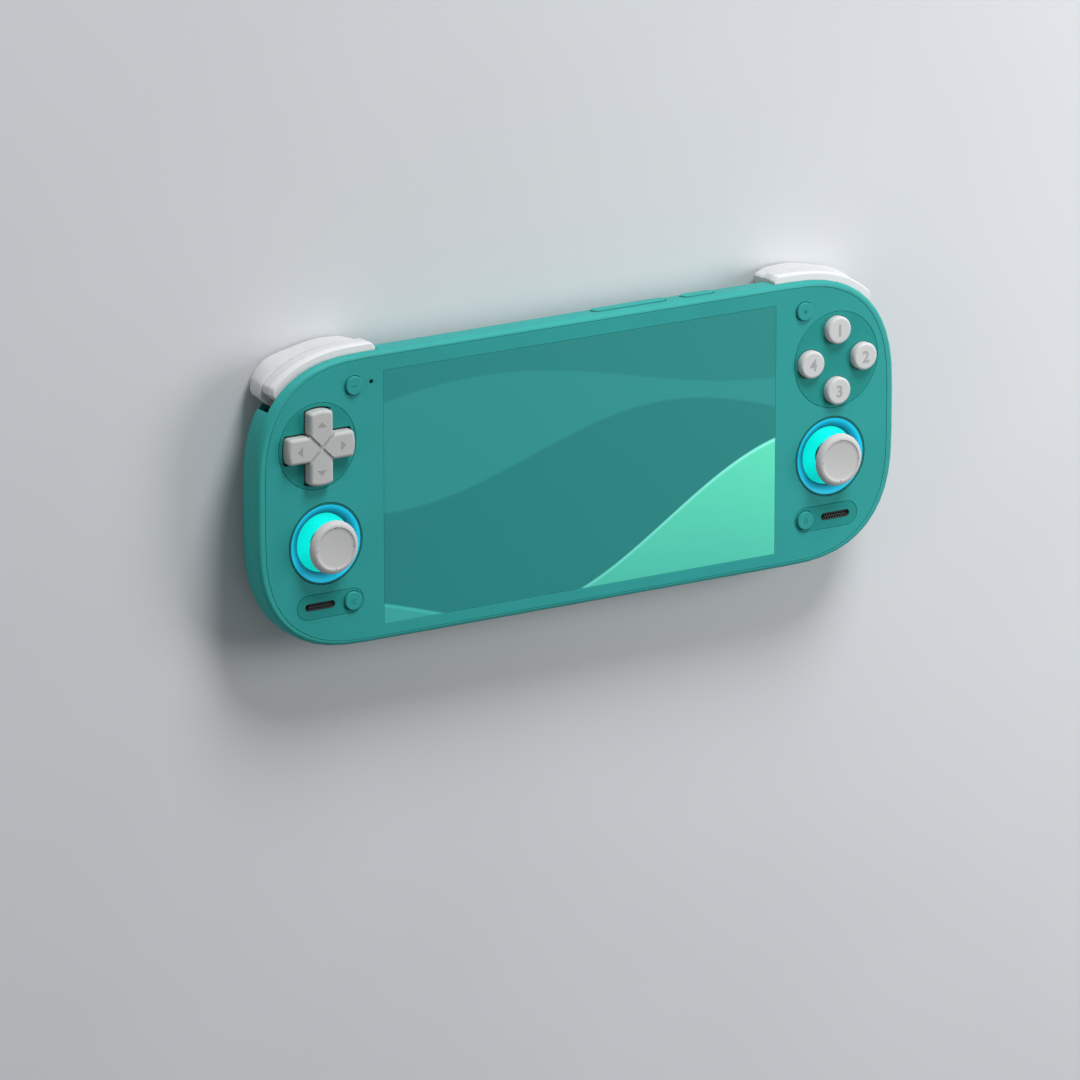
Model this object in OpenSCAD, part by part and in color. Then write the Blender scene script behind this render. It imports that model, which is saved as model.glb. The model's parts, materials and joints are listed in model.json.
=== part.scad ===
// Handheld game console, lying on its back.
// +X to the right, +Y to the top edge, +Z out of the screen.
// The origin is the middle of the back face. All sizes in millimetres.

/* [Body] */
// Width of the body without the shoulder keys
body_w = 198.4; // [194:0.1:210]
// Height of the body without the shoulder keys
body_h = 78.5; // [76:0.1:86]
// Thickness of the body from back face to front face
body_t = 15.6; // [15.2:0.1:19]
// Reach of each rounded corner along both edges
corner_r = 33; // [30:0.5:36]
// Squareness of the corner curve, 2 is a circle
corner_power = 2.55; // [2.2:0.05:3]
// Wall of the case
wall = 1.6; // [1.2:0.1:1.8]
// Height of the joint line between front frame and rear shell
split_z = 7.6; // [7.2:0.1:8]
// Inward reach of the rounded back edge
back_round_in = 12; // [9:0.5:14]
// Height of the rounded back edge
back_round_up = 11; // [9:0.5:12]
// Inward reach of the rounded front rim
rim_round_in = 1.25; // [0.6:0.05:1.3]
// Height of the rounded front rim
rim_round_up = 2; // [1:0.1:2.2]

/* [Front panel] */
// Width of the rim at each side of the panel
rim_side = 2.5; // [2:0.1:4]
// Width of the rim above and below the panel
rim_end = 1.45; // [1.35:0.05:2.5]
// Thickness of the panel and of the inlays in it
panel_t = 1.6; // [1.2:0.1:1.8]
// Ledge of the frame that the panel rests on
ledge_w = 1.5; // [1:0.1:2]
// Gap of the seams between fixed front pieces
seam = 0.1; // [0.05:0.01:0.2]
// Thickness of the plate behind the panel
plate_t = 1.6; // [1.5:0.05:1.8]

/* [Screen] */
// Width of the grip at each side of the screen
grip_w = 38.32; // [37:0.01:44]
// Margin of the body above and below the screen
screen_margin = 5; // [4.6:0.01:9]
// Height of the screen's middle above the body's middle
screen_y = -0.45; // [-1:0.05:0.5]
// Thickness of the glass
lens_t = 0.8; // [0.5:0.1:1]

/* [Pad and face buttons] */
// Distance of the pad's middle from the side edge
pad_in = 18.2; // [17.8:0.1:20]
// Height of the pad's middle
pad_y = 16.4; // [15.5:0.1:17]
// Radius of the pad's inlay
pad_inlay_r = 11.6; // [11.4:0.1:12.2]
// Radius of the pad's arm ends
pad_r = 10.2; // [9.5:0.1:10.4]
// Width of the pad's arms
pad_arm_w = 7.1; // [5:0.1:8]
// Height of the pad above the panel
pad_rise = 2.5; // [1.5:0.1:3.5]
// Rocking angle of the pad
pad_tilt = 3.5; // [2:0.5:4]
// Distance of the face buttons' middle from the side edge
face_in = 18.9; // [18.6:0.1:20]
// Radius of the face buttons' inlay
face_inlay_r = 13.25; // [13.1:0.05:14]
// Radius of a face button
face_r = 3.8; // [3.2:0.1:3.9]
// Distance of each face button from their middle
face_reach = 8.4; // [8:0.1:8.6]
// Height of the face buttons above the panel
face_rise = 1.8; // [1:0.1:2.6]
// Travel of the face buttons
face_travel = 1.2; // [0.6:0.1:1.3]
// Running gap round a face button or small button
button_gap = 0.15; // [0.1:0.01:0.2]

/* [Small buttons] */
// Distance of the upper small buttons from the side edge
top_button_in = 29.2; // [28.8:0.1:30.2]
// Distance of the upper small buttons from the top edge
top_button_drop = 8.05; // [7.65:0.05:8.65]
// Radius of the small buttons
small_r = 2.5; // [2:0.1:2.7]
// Height of the small buttons above the panel
small_rise = 0.7; // [0.3:0.1:1]
// Travel of the small buttons
small_travel = 0.6; // [0.3:0.1:0.7]
// Distance of the lower small buttons from the side edge
low_button_in = 28.6; // [27.8:0.1:28.9]

/* [Speakers] */
// Distance of the speaker pills from the side edge
pill_in = 21.8; // [21.2:0.1:22.2]
// Height of the speaker pills
pill_y = -26.85; // [-27.2:0.05:-26.4]
// Length of a speaker pill
pill_w = 19.9; // [19.6:0.1:20.4]
// Height of a speaker pill
pill_h = 6.6; // [6.4:0.1:7]
// Distance of the speaker slots from the side edge
slot_in = 18.75; // [18.2:0.05:19.2]
// Length of a speaker slot
slot_w = 9.1; // [7:0.1:9.6]
// Height of a speaker slot
slot_h = 2.1; // [1.6:0.1:2.8]

/* [Sticks] */
// Distance of the sticks from the side edge
stick_in = 20.55; // [19.7:0.05:21.2]
// Height of the sticks
stick_y = -10.2; // [-10.6:0.1:-9.6]
// Outer radius of the light ring
ring_r = 11; // [10.8:0.1:11.4]
// Radius of the lit disc inside the light ring
disc_r = 7.9; // [7.6:0.1:8.2]
// Depth of the lit disc below the panel
disc_depth = 1.4; // [1:0.1:1.5]
// Radius of the stick cap
cap_r = 7.2; // [6.5:0.1:7.3]
// Height of the cap's top above the panel
cap_rise = 5.3; // [4.8:0.1:6.2]
// Thickness of the cap
cap_t = 2.3; // [1.8:0.1:2.6]
// Depth of the stick's pivot below the panel
stick_depth = 6.2; // [6:0.1:6.4]
// Tilt of the stick to each side
stick_tilt = 15; // [10:1:15]
// Click travel of the stick
stick_click = 0.4; // [0.2:0.1:0.5]

/* [Shoulder keys] */
// Distance of the bumpers' inner ends from the side edge
bumper_in = 37.2; // [36.8:0.1:38.2]
// Distance of the triggers' inner ends from the side edge
trigger_in = 36.7; // [36.2:0.1:38.2]
// How far below the top edge a bumper ends
bumper_drop = 8.8; // [8.2:0.05:10.2]
// Open notch beyond the outer end of a bumper
key_notch = 2; // [0:0.1:2.5]
// How far below the top edge a trigger ends
trigger_drop = 9.9; // [8.8:0.05:10.2]
// How far a bumper stands out of the body
bumper_proud = 1.9; // [0.8:0.1:2.4]
// How deep a bumper reaches into the body
bumper_deep = 2.8; // [2.4:0.1:3]
// Swing of a bumper
bumper_swing = 2; // [1:0.5:2.5]
// How far a trigger stands out of the body at its ends
trigger_proud = 0.5; // [0.4:0.1:1]
// How much further a trigger's hump beside its inner end stands out
inner_swell = 1.3; // [0.8:0.1:1.8]
// How much further a trigger's hump at the corner stands out
outer_swell = 2.4; // [1:0.1:2.8]
// How deep a trigger reaches into the body
trigger_deep = 4.4; // [4.2:0.1:4.6]
// Swing of a trigger
trigger_swing = 4.5; // [3:0.5:6]
// Radius of the steel pin that carries both keys of one side
pin_r = 1; // [0.8:0.05:1.1]
// Running clearance of pins in their bores
pin_gap = 0.05; // [0.02:0.01:0.08]

/* [Top edge keys] */
// Distance of the volume key's middle from the centre line
volume_x = 17.4; // [15:0.1:19]
// Length of the volume key
volume_w = 22.8; // [18:0.1:23]
// Distance of the power key's middle from the centre line
power_x = 39; // [37:0.1:41]
// Length of the power key
power_w = 10; // [8:0.1:11]
// Height of both keys across the edge
key_h = 3; // [2.4:0.1:3.1]
// Depth of both keys' middle behind the front face
key_depth = 4.9; // [4.8:0.1:5.2]
// How far both keys stand out of the edge
key_proud = 0.7; // [0.4:0.1:1]
// Travel of the keys
key_travel = 0.4; // [0.2:0.05:0.5]

/* [Sockets] */
// Radius of the headphone socket
jack_r = 1.8; // [1.3:0.05:1.9]
// Distance of the headphone socket from the centre line
jack_x = -24; // [-28:0.5:-20]
// Distance of the card slot from the centre line
card_x = 24; // [20:0.5:28]
// Width of the charging socket's opening
usb_w = 8.4; // [8:0.1:9]
// Height of the charging socket's opening
usb_h = 2.6; // [2.4:0.1:2.8]

/* [Hidden] */
$fn = 48;

// Colours
teal = [0.20, 0.58, 0.56];
teal_dark = [0.16, 0.50, 0.48];
white = [0.90, 0.90, 0.91];
grey = [0.78, 0.78, 0.80];
board_green = [0.10, 0.32, 0.20];
steel = [0.70, 0.71, 0.73];
black = [0.06, 0.06, 0.07];
rubber = [0.30, 0.30, 0.32];
cyan = [0.05, 0.90, 0.86];
blue = [0.15, 0.68, 0.88];
lens_teal = [0.10, 0.40, 0.40];
wrap_grey = [0.25, 0.26, 0.28];
film_amber = [0.75, 0.50, 0.15];

// Steps along one rounded corner, across one rounded edge and across the rounded back edge
corner_steps = 12;
edge_steps = 6;
back_steps = 8;
// Steps of a shoulder key along the top edge and round the corner
key_flat_steps = 3;
key_turn_steps = 14;
// Degrees between the points of a turned fillet and of a trigger's round tail
fillet_turn = 18;
tail_turn = 30;
// Clearance between pieces that move apart, and of a piece seated in another
clear = 0.3;
seat = 0.02;
// Overshoot of a cut past the face it opens
over = 1;

half_w = body_w / 2;
half_h = body_h / 2;
front_z = body_t;
panel_z = front_z - panel_t;
plate_z = panel_z - plate_t;
ledge_t = 1.2;
screen_w = body_w - 2 * grip_w;
screen_h = body_h - 2 * screen_margin;
panel_half_w = half_w - rim_side;
panel_half_h = half_h - rim_end;
panel_corner = corner_r - (rim_side + rim_end) / 2;

// Places of the controls, from the body's edges
pad_x = half_w - pad_in;
face_x = half_w - face_in;
stick_x = half_w - stick_in;
top_button_x = half_w - top_button_in;
top_button_y = half_h - top_button_drop;
low_button_x = half_w - low_button_in;
pill_x = half_w - pill_in;
slot_x = half_w - slot_in;
bumper_x = half_w - bumper_in;
trigger_x = half_w - trigger_in;

// Boards
board_gap = 2.6;
board_t = 1;
board_top = plate_z - board_gap;
board_back = board_top - board_t;
board_w = 35.7;
board_in_x = half_w - board_w;
board_edge = 4;
main_t = 1.2;
main_top = split_z;
main_back = main_top - main_t;
main_side = 47.2;
main_half_w = half_w - main_side;
main_top_y = -1;
main_edge = 6.25;
main_low_y = main_edge - half_h;

// Light ring seat
ring_t = disc_depth + 1;
ring_seat_z = front_z - ring_t;
ring_lip = 0.4;
stick_hole_r = 6.4;

// Screen stack
screen_seat_z = front_z - ring_t;
display_t = front_z - lens_t - screen_seat_z;

// Pieces under the panel
flange_t = 0.8;
flange_grow = 0.5;
flange_gap = 0.6;
flange_z = panel_z - flange_gap - flange_t;
pad_seat_w = 0.5;
pad_hole_r = pad_inlay_r - pad_seat_w;
face_seat_w = 0.35;
face_hole_r = face_inlay_r - face_seat_w;
small_hole_grow = 1;
mic_in = 34.6;
mic_x = mic_in - half_w;
mic_drop = 7.85;
mic_y = half_h - mic_drop;
mic_r = 0.6;
mic_can_r = 1;

// Stick module: the carrier slides to click, the yoke and the shaft tilt
stick_pivot_z = front_z - stick_depth;
base_half = 8;
base_wall = 1.1;
base_floor = 0.6;
slide_gap = 0.15;
carrier_out = base_half - base_wall - slide_gap;
carrier_wall = 1.35;
carrier_in = carrier_out - carrier_wall;
carrier_half_t = 1.4;
carrier_pin_r = 0.7;
yoke_gap = 0.65;
yoke_out = carrier_in - yoke_gap;
yoke_wall = 1.45;
yoke_in = yoke_out - yoke_wall;
pin_setback = 0.3;
carrier_pin_tip = yoke_in + pin_setback;
yoke_half_t = 1.2;
yoke_pin_r = 0.6;
yoke_pin_hold = 1.7;
yoke_pin_tip = yoke_in - yoke_pin_hold;
yoke_dip = yoke_out * sin(stick_tilt) + yoke_half_t * cos(stick_tilt);
base_z = stick_pivot_z - yoke_dip - stick_click - clear - base_floor;
hub_w = 4;
hub_t = 2.2;
hub = [hub_w, 2 * (yoke_in - clear), hub_t];
shaft_r = 1.5;
shaft_sink = 1;
shaft_lean = sqrt(2) * stick_tilt;
disc_hole_r = (stick_depth - disc_depth + stick_click) * tan(shaft_lean) + shaft_r / cos(shaft_lean) + clear;
neck_r = 2.8;
neck_l = 1.8;
cap_low_z = front_z + cap_rise - cap_t;
cap_fillet = 1.5;
cap_under = 1.4;
dish_r = 5.6;
dish_depth = 0.45;

// Shoulder keys
pin_in = 33.2;
shoulder_pin_x = half_w - pin_in;
shoulder_pin_y = half_h - back_round_in;
pin_boss_r = 2.2;
pin_boss_h = 1.8;
pin_foot = 0.8;
key_split_gap = 0.12;
trigger_top = split_z - key_split_gap;
trigger_body_h = 4.3;
trigger_low = trigger_top - trigger_body_h;
skirt_deep = 0.9;
tail_z = 0.5;
tail_rise = 1.7;
tail_round_in = 0.7;
tail_round_up = 1.6;
// Places and widths of the trigger's two humps, as parts of its length
inner_swell_at = 0.27;
inner_swell_w = 0.2;
outer_swell_at = 0.74;
outer_swell_w = 0.28;
outer_taper = 0.1;
bumper_low = split_z + key_split_gap;
bumper_top = front_z - rim_round_up - clear;
key_tip = 6;
key_reach = half_w - key_tip - shoulder_pin_x;
swing_gap = 0.5;
bumper_sweep = key_reach * sin(bumper_swing) + swing_gap;
trigger_sweep = key_reach * sin(trigger_swing) + swing_gap;
bumper_room = bumper_deep + bumper_sweep;
trigger_room = 0.8;
pocket_reach = 6;
pocket_end_gap = 0.6;

// Top edge keys
key_z = front_z - key_depth;
key_inside = 2;
key_in_y = half_h - wall - key_inside;
key_gap = 0.3;
key_room = 0.25;
rocker_drop = 4.25;
rocker_y = half_h - rocker_drop;
rocker_pin_r = 0.6;
key_board_drop = 6.9;
key_board_y = half_h - key_board_drop;
key_board_t = 0.8;

// Sockets
jack_rise = 1.4;
jack_z = main_top + jack_rise;
jack_barrel_r = 2.7;
jack_length = 14;
jack_half = 3.2;
usb_shell = 0.35;
usb_length = 7.3;
socket_z = main_top + usb_h / 2 + usb_shell;
card_w = 11.4;
card_slot_h = 1;
card_shell = 0.5;
card_length = 14;
port_gap = 0.3;
socket_inside = 2.4;
socket_deep = wall + socket_inside;
socket_back = 1;

// Screws
screw_r = 0.8;
screw_head_r = 1.8;
screw_head_t = 0.8;
screw_sink = 0.15;
post_r = 2.4;
case_screw_l = 6;
flat_half_h = half_h - back_round_in - post_r - clear;
top_screw_in = 42.7;
low_screw_in = 40.7;
side_screw_in = 16.7;
side_screw_y = 1.3;
case_points = [
    [half_w - top_screw_in, flat_half_h],
    [half_w - low_screw_in, -flat_half_h],
    [half_w - side_screw_in, side_screw_y]
];
inner_screw_in = 32.9;
outer_screw_in = 6.2;
inner_screw_x = half_w - inner_screw_in;
outer_screw_x = half_w - outer_screw_in;
upper_screw_y = 8;
lower_screw_y = -16.6;
outer_screw_y = 2;
board_points = [
    [inner_screw_x, upper_screw_y],
    [inner_screw_x, lower_screw_y],
    [outer_screw_x, outer_screw_y]
];
main_screw_in = 5;
main_screw_up = 9;
main_points = [
    [main_half_w - main_screw_in, main_top_y - main_screw_in],
    [main_half_w - main_screw_in, main_low_y + main_screw_up]
];
board_post_r = 1.6;
board_screw_r = 0.6;
board_screw_l = 1.8;

function lerp(a, b, f) = a + (b - a) * f;

// Curve of one rounded corner, from 0 along the side to 90 along the end
function corner_dir(t) = [
    sign(cos(t)) * pow(abs(cos(t)), 2 / corner_power),
    sign(sin(t)) * pow(abs(sin(t)), 2 / corner_power)
];

// One closed outline at height z, moved inward by inset
function outline(hw, hh, c, inset, z) = [
    for (q = [0:3])
        for (i = [0:corner_steps])
            let (t = 90 * (q + i / corner_steps), d = corner_dir(t))
            let (sx = (q == 0 || q == 3) ? 1 : -1, sy = q < 2 ? 1 : -1)
            [sx * (hw - c) + (c - inset) * d[0], sy * (hh - c) + (c - inset) * d[1], z]
];
function body_ring(inset, z) = outline(half_w, half_h, corner_r, inset, z);
function panel_ring(inset, z) = outline(panel_half_w, panel_half_h, panel_corner, inset, z);
function flat(ring) = [for (p = ring) [p[0], p[1]]];

// Rounded back edge at angle a, 0 at the side and 90 at the back, thick inside the surface
function back_ring(a, thick) = body_ring(
    thick + (back_round_in - thick) * (1 - cos(a)),
    thick + (back_round_up - thick) * (1 - sin(a))
);
function back_angle(z, thick) = asin(1 - (z - thick) / (back_round_up - thick));
function rim_ring(a) = body_ring(
    rim_round_in * (1 - cos(a)),
    front_z - rim_round_up * (1 - sin(a))
);
function steps(from, to, n) = [for (i = [0:n]) lerp(from, to, i / n)];

// Skin through a list of rings with equal counts, with flat ends or closed into a loop
module skin(rings, loop = false) {
    n = len(rings[0]);
    last = len(rings) - 1;
    side = [
        for (k = [0:loop ? last : last - 1])
            for (j = [0:n - 1])
                let (a = k * n + j, d = k * n + (j + 1) % n)
                let (up = ((k + 1) % (last + 1)) * n)
                each [[a, up + j, up + (j + 1) % n], [a, up + (j + 1) % n, d]]
    ];
    ends = loop ? [] : [[for (j = [0:n - 1]) j], [for (j = [n - 1:-1:0]) last * n + j]];
    polyhedron(points = [for (r = rings) each r], faces = concat(side, ends));
}

// Places along the top corner, from x0 on the top edge to the height low at the side
function shoulder_places(x0, low) =
    let (t1 = asin(pow((low - half_h + corner_r) / corner_r, corner_power / 2)))
    concat(
        [for (i = [0:key_flat_steps - 1]) [lerp(x0, half_w - corner_r, i / key_flat_steps), 90]],
        [for (i = [0:key_turn_steps]) [half_w - corner_r, lerp(90, t1, i / key_turn_steps)]]
    );
function edge_point(s, o) = let (d = corner_dir(s[1]))
    [s[0] + (corner_r + o) * d[0], half_h - corner_r + (corner_r + o) * d[1]];

module on_side(side) {
    if (side < 0) mirror([1, 0, 0]) children();
    else children();
}
module both_sides() {
    for (side = [-1, 1]) on_side(side) children();
}
module at(xy, z) {
    translate([xy[0], xy[1], z]) children();
}
module block(x, y, z) {
    translate([x[0], y[0], z[0]]) cube([x[1] - x[0], y[1] - y[0], z[1] - z[0]]);
}
module pill_2d(w, h) {
    square([w - h, h], center = true);
    for (s = [-1, 1]) translate([s * (w - h) / 2, 0]) circle(h / 2);
}

// Space cut for the shoulder keys, deeper from the inner end to the outer end
module shoulder_pocket(x0, low, deep_in, deep_out, z0, z1) {
    places = shoulder_places(x0 - pocket_end_gap, low);
    n = len(places) - 1;
    outer = [for (s = places) edge_point(s, pocket_reach)];
    inner = [for (i = [n:-1:0]) edge_point(places[i], -lerp(deep_in, deep_out, i / n))];
    translate([0, 0, z0]) linear_extrude(z1 - z0) polygon(concat(outer, inner));
}
module bumper_space() {
    both_sides() shoulder_pocket(
        bumper_x, half_h - bumper_drop - bumper_sweep - key_notch, bumper_room, bumper_room,
        split_z - over, bumper_top + clear
    );
}
module trigger_space() {
    both_sides() shoulder_pocket(
        trigger_x, half_h - trigger_drop - trigger_sweep,
        trigger_deep + trigger_room, trigger_deep + trigger_room + trigger_sweep,
        trigger_low - clear, split_z + over
    );
}

// Openings of the sockets through the lower wall
module socket_cuts() {
    y_out = -half_h - over;
    y_in = -half_h + socket_deep;
    usb_half = usb_w / 2 + usb_shell + port_gap;
    usb_up = usb_h / 2 + usb_shell + port_gap;
    block([-usb_half, usb_half], [y_out, y_in], [socket_z - usb_up, socket_z + usb_up]);
    at([jack_x, y_out], jack_z) rotate([-90, 0, 0]) cylinder(r = jack_barrel_r + seam, h = y_in - y_out);
    block(
        [card_x - card_w / 2 - port_gap, card_x + card_w / 2 + port_gap], [y_out, y_in],
        [main_top + card_shell - seam, main_top + card_shell + card_slot_h + port_gap]
    );
}

// Slot in the upper wall for one key
module key_slot(x, w) {
    at([x, half_h - wall - over], key_z) rotate([-90, 0, 0]) linear_extrude(wall + 2 * over)
        pill_2d(w + 2 * key_gap, key_h + 2 * key_room);
}

module front_frame() {
    a0 = back_angle(split_z, 0);
    color(teal) difference() {
        skin(concat(
            [for (a = steps(a0, 0, 3)) back_ring(a, 0)],
            [for (a = steps(0, 90, edge_steps)) rim_ring(a)],
            [panel_ring(-seam, front_z), panel_ring(-seam, panel_z), panel_ring(ledge_w, panel_z)],
            [panel_ring(ledge_w, panel_z - ledge_t), body_ring(wall, panel_z - ledge_t)],
            [body_ring(wall + back_round_in * (1 - cos(a0)), split_z)]
        ), loop = true);
        bumper_space();
        socket_cuts();
        key_slot(volume_x, volume_w);
        key_slot(power_x, power_w);
    }
}

module rear_shell() {
    color(teal) difference() {
        union() {
            skin(concat(
                [for (a = steps(90, back_angle(split_z, 0), back_steps)) back_ring(a, 0)],
                [for (a = steps(back_angle(split_z, wall), 90, back_steps)) back_ring(a, wall)]
            ));
            both_sides() at([shoulder_pin_x, shoulder_pin_y], wall / 2)
                cylinder(r = pin_boss_r, h = wall / 2 + pin_boss_h);
        }
        trigger_space();
        socket_cuts();
        both_sides() at([shoulder_pin_x, shoulder_pin_y], pin_foot) cylinder(r = pin_r + seat, h = front_z);
        both_sides() for (p = case_points) {
            at(p, -over) cylinder(r = screw_r + seam, h = wall + 2 * over);
            at(p, -over) cylinder(r = screw_head_r + seam, h = over + screw_sink + screw_head_t);
        }
    }
}

// Fixed pieces of the front
module front_panel() {
    color(teal) translate([0, 0, panel_z]) linear_extrude(panel_t) difference() {
        polygon(flat(panel_ring(0, 0)));
        translate([0, screen_y]) square([screen_w + 2 * seam, screen_h + 2 * seam], center = true);
        translate([-pad_x, pad_y]) circle(pad_inlay_r + seam);
        translate([face_x, pad_y]) circle(face_inlay_r + seam);
        translate([mic_x, mic_y]) circle(mic_r);
        for (side = [-1, 1]) {
            translate([side * stick_x, stick_y]) circle(ring_r + seam);
            translate([side * top_button_x, top_button_y]) circle(small_r + button_gap);
            translate([side * pill_x, pill_y]) pill_2d(pill_w + 2 * seam, pill_h + 2 * seam);
        }
    }
}

module inner_frame() {
    color(grey) difference() {
        union() {
            translate([0, 0, plate_z]) linear_extrude(plate_t) plate_outline();
            both_sides() frame_posts();
            at([volume_x, rocker_y], key_z - key_h / 2)
                cylinder(r = rocker_pin_r, h = plate_z - key_z + key_h / 2);
        }
        at([0, screen_y], screen_seat_z) linear_extrude(plate_t)
            square([screen_w + 2 * seam, screen_h + 2 * seam], center = true);
        both_sides() at([stick_x, stick_y], ring_seat_z) cylinder(r = ring_r + seam, h = plate_t);
        both_sides() at([shoulder_pin_x, shoulder_pin_y], plate_z - over)
            cylinder(r = pin_r + seat, h = over + plate_t / 2);
        both_sides() screw_bores();
        bumper_space();
    }
}
module plate_outline() {
    difference() {
        polygon(flat(panel_ring(ledge_w + seam, 0)));
        translate([-pad_x, pad_y]) circle(pad_hole_r);
        translate([face_x, pad_y]) circle(face_hole_r);
        translate([mic_x, mic_y]) circle(mic_can_r + seat);
        for (side = [-1, 1]) {
            translate([side * stick_x, stick_y]) circle(stick_hole_r);
            translate([side * top_button_x, top_button_y]) circle(small_r + small_hole_grow);
            translate([side * low_button_x, pill_y]) circle(small_r + small_hole_grow);
            translate([side * slot_x, pill_y]) square([slot_w, slot_h], center = true);
        }
    }
}
module frame_posts() {
    for (p = case_points) at(p, wall) cylinder(r = post_r, h = plate_z - wall);
    for (p = board_points) at(p, board_top) cylinder(r = board_post_r, h = board_gap);
    for (p = main_points) at(p, main_top) cylinder(r = board_post_r, h = plate_z - main_top);
}
module board_bore() {
    cylinder(r = board_screw_r + seat, h = over + board_screw_l);
}
module screw_bores() {
    for (p = case_points) at(p, wall - over) cylinder(r = screw_r + seat, h = over + case_screw_l);
    for (p = board_points) at(p, board_top - over) board_bore();
    for (p = main_points) at(p, main_top - over) board_bore();
}

module screen_lens() {
    color(lens_teal) at([0, screen_y], front_z - lens_t) linear_extrude(lens_t)
        square([screen_w, screen_h], center = true);
}
module display_panel() {
    color(black) at([0, screen_y], screen_seat_z) linear_extrude(display_t)
        square([screen_w, screen_h], center = true);
}

// Cross-shaped outline of the pad, grown for its opening
module pad_2d(grow) {
    intersection() {
        circle(pad_r + grow);
        union() {
            square([2 * (pad_r + grow), pad_arm_w + 2 * grow], center = true);
            square([pad_arm_w + 2 * grow, 2 * (pad_r + grow)], center = true);
        }
    }
}
pad_gap = 0.45;
module dpad_inlay() {
    color(teal_dark) at([-pad_x, pad_y], panel_z) linear_extrude(panel_t) difference() {
        circle(pad_inlay_r);
        pad_2d(pad_gap);
    }
}
// Places of the four face buttons, the upper one first and clockwise
function face_place(i) = [face_x + face_reach * sin(90 * i), pad_y + face_reach * cos(90 * i)];
module face_inlay() {
    color(teal_dark) translate([0, 0, panel_z]) linear_extrude(panel_t) difference() {
        translate([face_x, pad_y]) circle(face_inlay_r);
        for (i = [0:3]) translate(face_place(i)) circle(face_r + button_gap);
    }
}
module speaker_inlay() {
    color(teal_dark) translate([0, 0, panel_z]) linear_extrude(panel_t) difference() {
        translate([pill_x, pill_y]) pill_2d(pill_w, pill_h);
        translate([slot_x, pill_y]) pill_2d(slot_w, slot_h);
        translate([low_button_x, pill_y]) circle(small_r + button_gap);
    }
}
module left_speaker_inlay() { on_side(-1) speaker_inlay(); }
module right_speaker_inlay() { on_side(1) speaker_inlay(); }

mesh_t = 0.4;
mesh_hole_r = 0.28;
mesh_pitch = 0.9;
mesh_lift = 0.3;
mesh_z = panel_z + mesh_lift;
module speaker_meshes() {
    n = floor((slot_w - slot_h) / 2 / mesh_pitch);
    color(black) both_sides() translate([slot_x, pill_y, mesh_z]) linear_extrude(mesh_t) difference() {
        pill_2d(slot_w - 2 * seam, slot_h - 2 * seam);
        for (i = [-n:n], row = [-1, 1])
            translate([i * mesh_pitch, row * mesh_pitch / 2]) circle(mesh_hole_r);
    }
}

module light_rings() {
    color(blue) both_sides() at([stick_x, stick_y], ring_seat_z) rotate_extrude() polygon([
        [disc_r + seam, 0], [ring_r, 0], [ring_r, ring_t],
        [ring_r - ring_lip, ring_t], [disc_r + seam, ring_t - disc_depth]
    ]);
}
module light_discs() {
    color(cyan) both_sides() at([stick_x, stick_y], ring_seat_z) linear_extrude(ring_t - disc_depth)
        difference() {
            circle(disc_r);
            circle(disc_hole_r);
        }
}

// Speakers hang under the plate, with their sound opening below the slot
speaker_w = 14;
speaker_h = 7.2;
speaker_t = 4.8;
speaker_shift = 1;
module speaker() {
    color(black) at([slot_x, pill_y], 0) difference() {
        block(
            [speaker_shift - speaker_w / 2, speaker_shift + speaker_w / 2], [-speaker_h / 2, speaker_h / 2],
            [plate_z - speaker_t, plate_z]
        );
        block([-slot_w / 2, slot_w / 2], [-slot_h / 2, slot_h / 2], [plate_z - over, plate_z + over]);
    }
}
module left_speaker() { on_side(-1) speaker(); }
module right_speaker() { on_side(1) speaker(); }

// Side boards, cut round the stick module, the speaker and the screw posts
module side_board() {
    room = base_half + clear;
    color(board_green) difference() {
        translate([0, 0, board_back]) linear_extrude(board_t) difference() {
            polygon(flat(body_ring(board_edge, 0)));
            translate([board_in_x - body_w, -body_h / 2]) square([body_w, body_h]);
            translate([stick_x, stick_y]) square(2 * room, center = true);
            translate([slot_x + speaker_shift, pill_y - body_h / 2 + speaker_h / 2])
                square([speaker_w + 2 * clear, body_h + 2 * clear], center = true);
            for (p = case_points) translate(p) circle(post_r + clear);
            for (p = board_points) translate(p) circle(board_screw_r + seam);
            translate([board_in_x - over, shoulder_pin_y - knuckle_r - clear])
                square([shoulder_pin_x + knuckle_r + clear - board_in_x + over, half_h]);
        }
        bumper_space();
    }
}
module left_board() {
    on_side(-1) side_board();
    pad_stand();
}
module right_board() { on_side(1) side_board(); }

chip_w = 20;
chip_t = 2;
chip_y = -14;
memory_w = 8;
memory_t = 0.9;
memory_places = [-32, -12, 18, 38];
module main_board() {
    color(board_green) {
        difference() {
            block([-main_half_w, main_half_w], [main_low_y, main_top_y], [main_back, main_top]);
            block(
                [jack_x - jack_half - clear, jack_x + jack_half + clear],
                [main_low_y - over, -half_h + jack_length + clear], [main_back - over, main_top + over]
            );
            both_sides() for (p = main_points)
                at(p, main_back - over) cylinder(r = board_screw_r + seam, h = main_t + 2 * over);
            both_sides() for (p = case_points)
                at(p, main_back - over) cylinder(r = post_r + clear, h = main_t + 2 * over);
        }
        block(
            [-chip_w / 2, chip_w / 2], [chip_y - chip_w / 2, chip_y + chip_w / 2],
            [main_back - chip_t, main_back]
        );
        for (x = memory_places) block(
            [x - memory_w / 2, x + memory_w / 2], [chip_y, chip_y + memory_w], [main_top, main_top + memory_t]
        );
    }
}
spreader_w = 64;
spreader_h = 26;
spreader_t = 0.6;
module heat_spreader() {
    z1 = main_back - chip_t;
    color(steel) block(
        [-spreader_w / 2, spreader_w / 2], [chip_y - spreader_h / 2, chip_y + spreader_h / 2],
        [z1 - spreader_t, z1]
    );
}
battery_side = 2;
battery_gap = 2;
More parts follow.
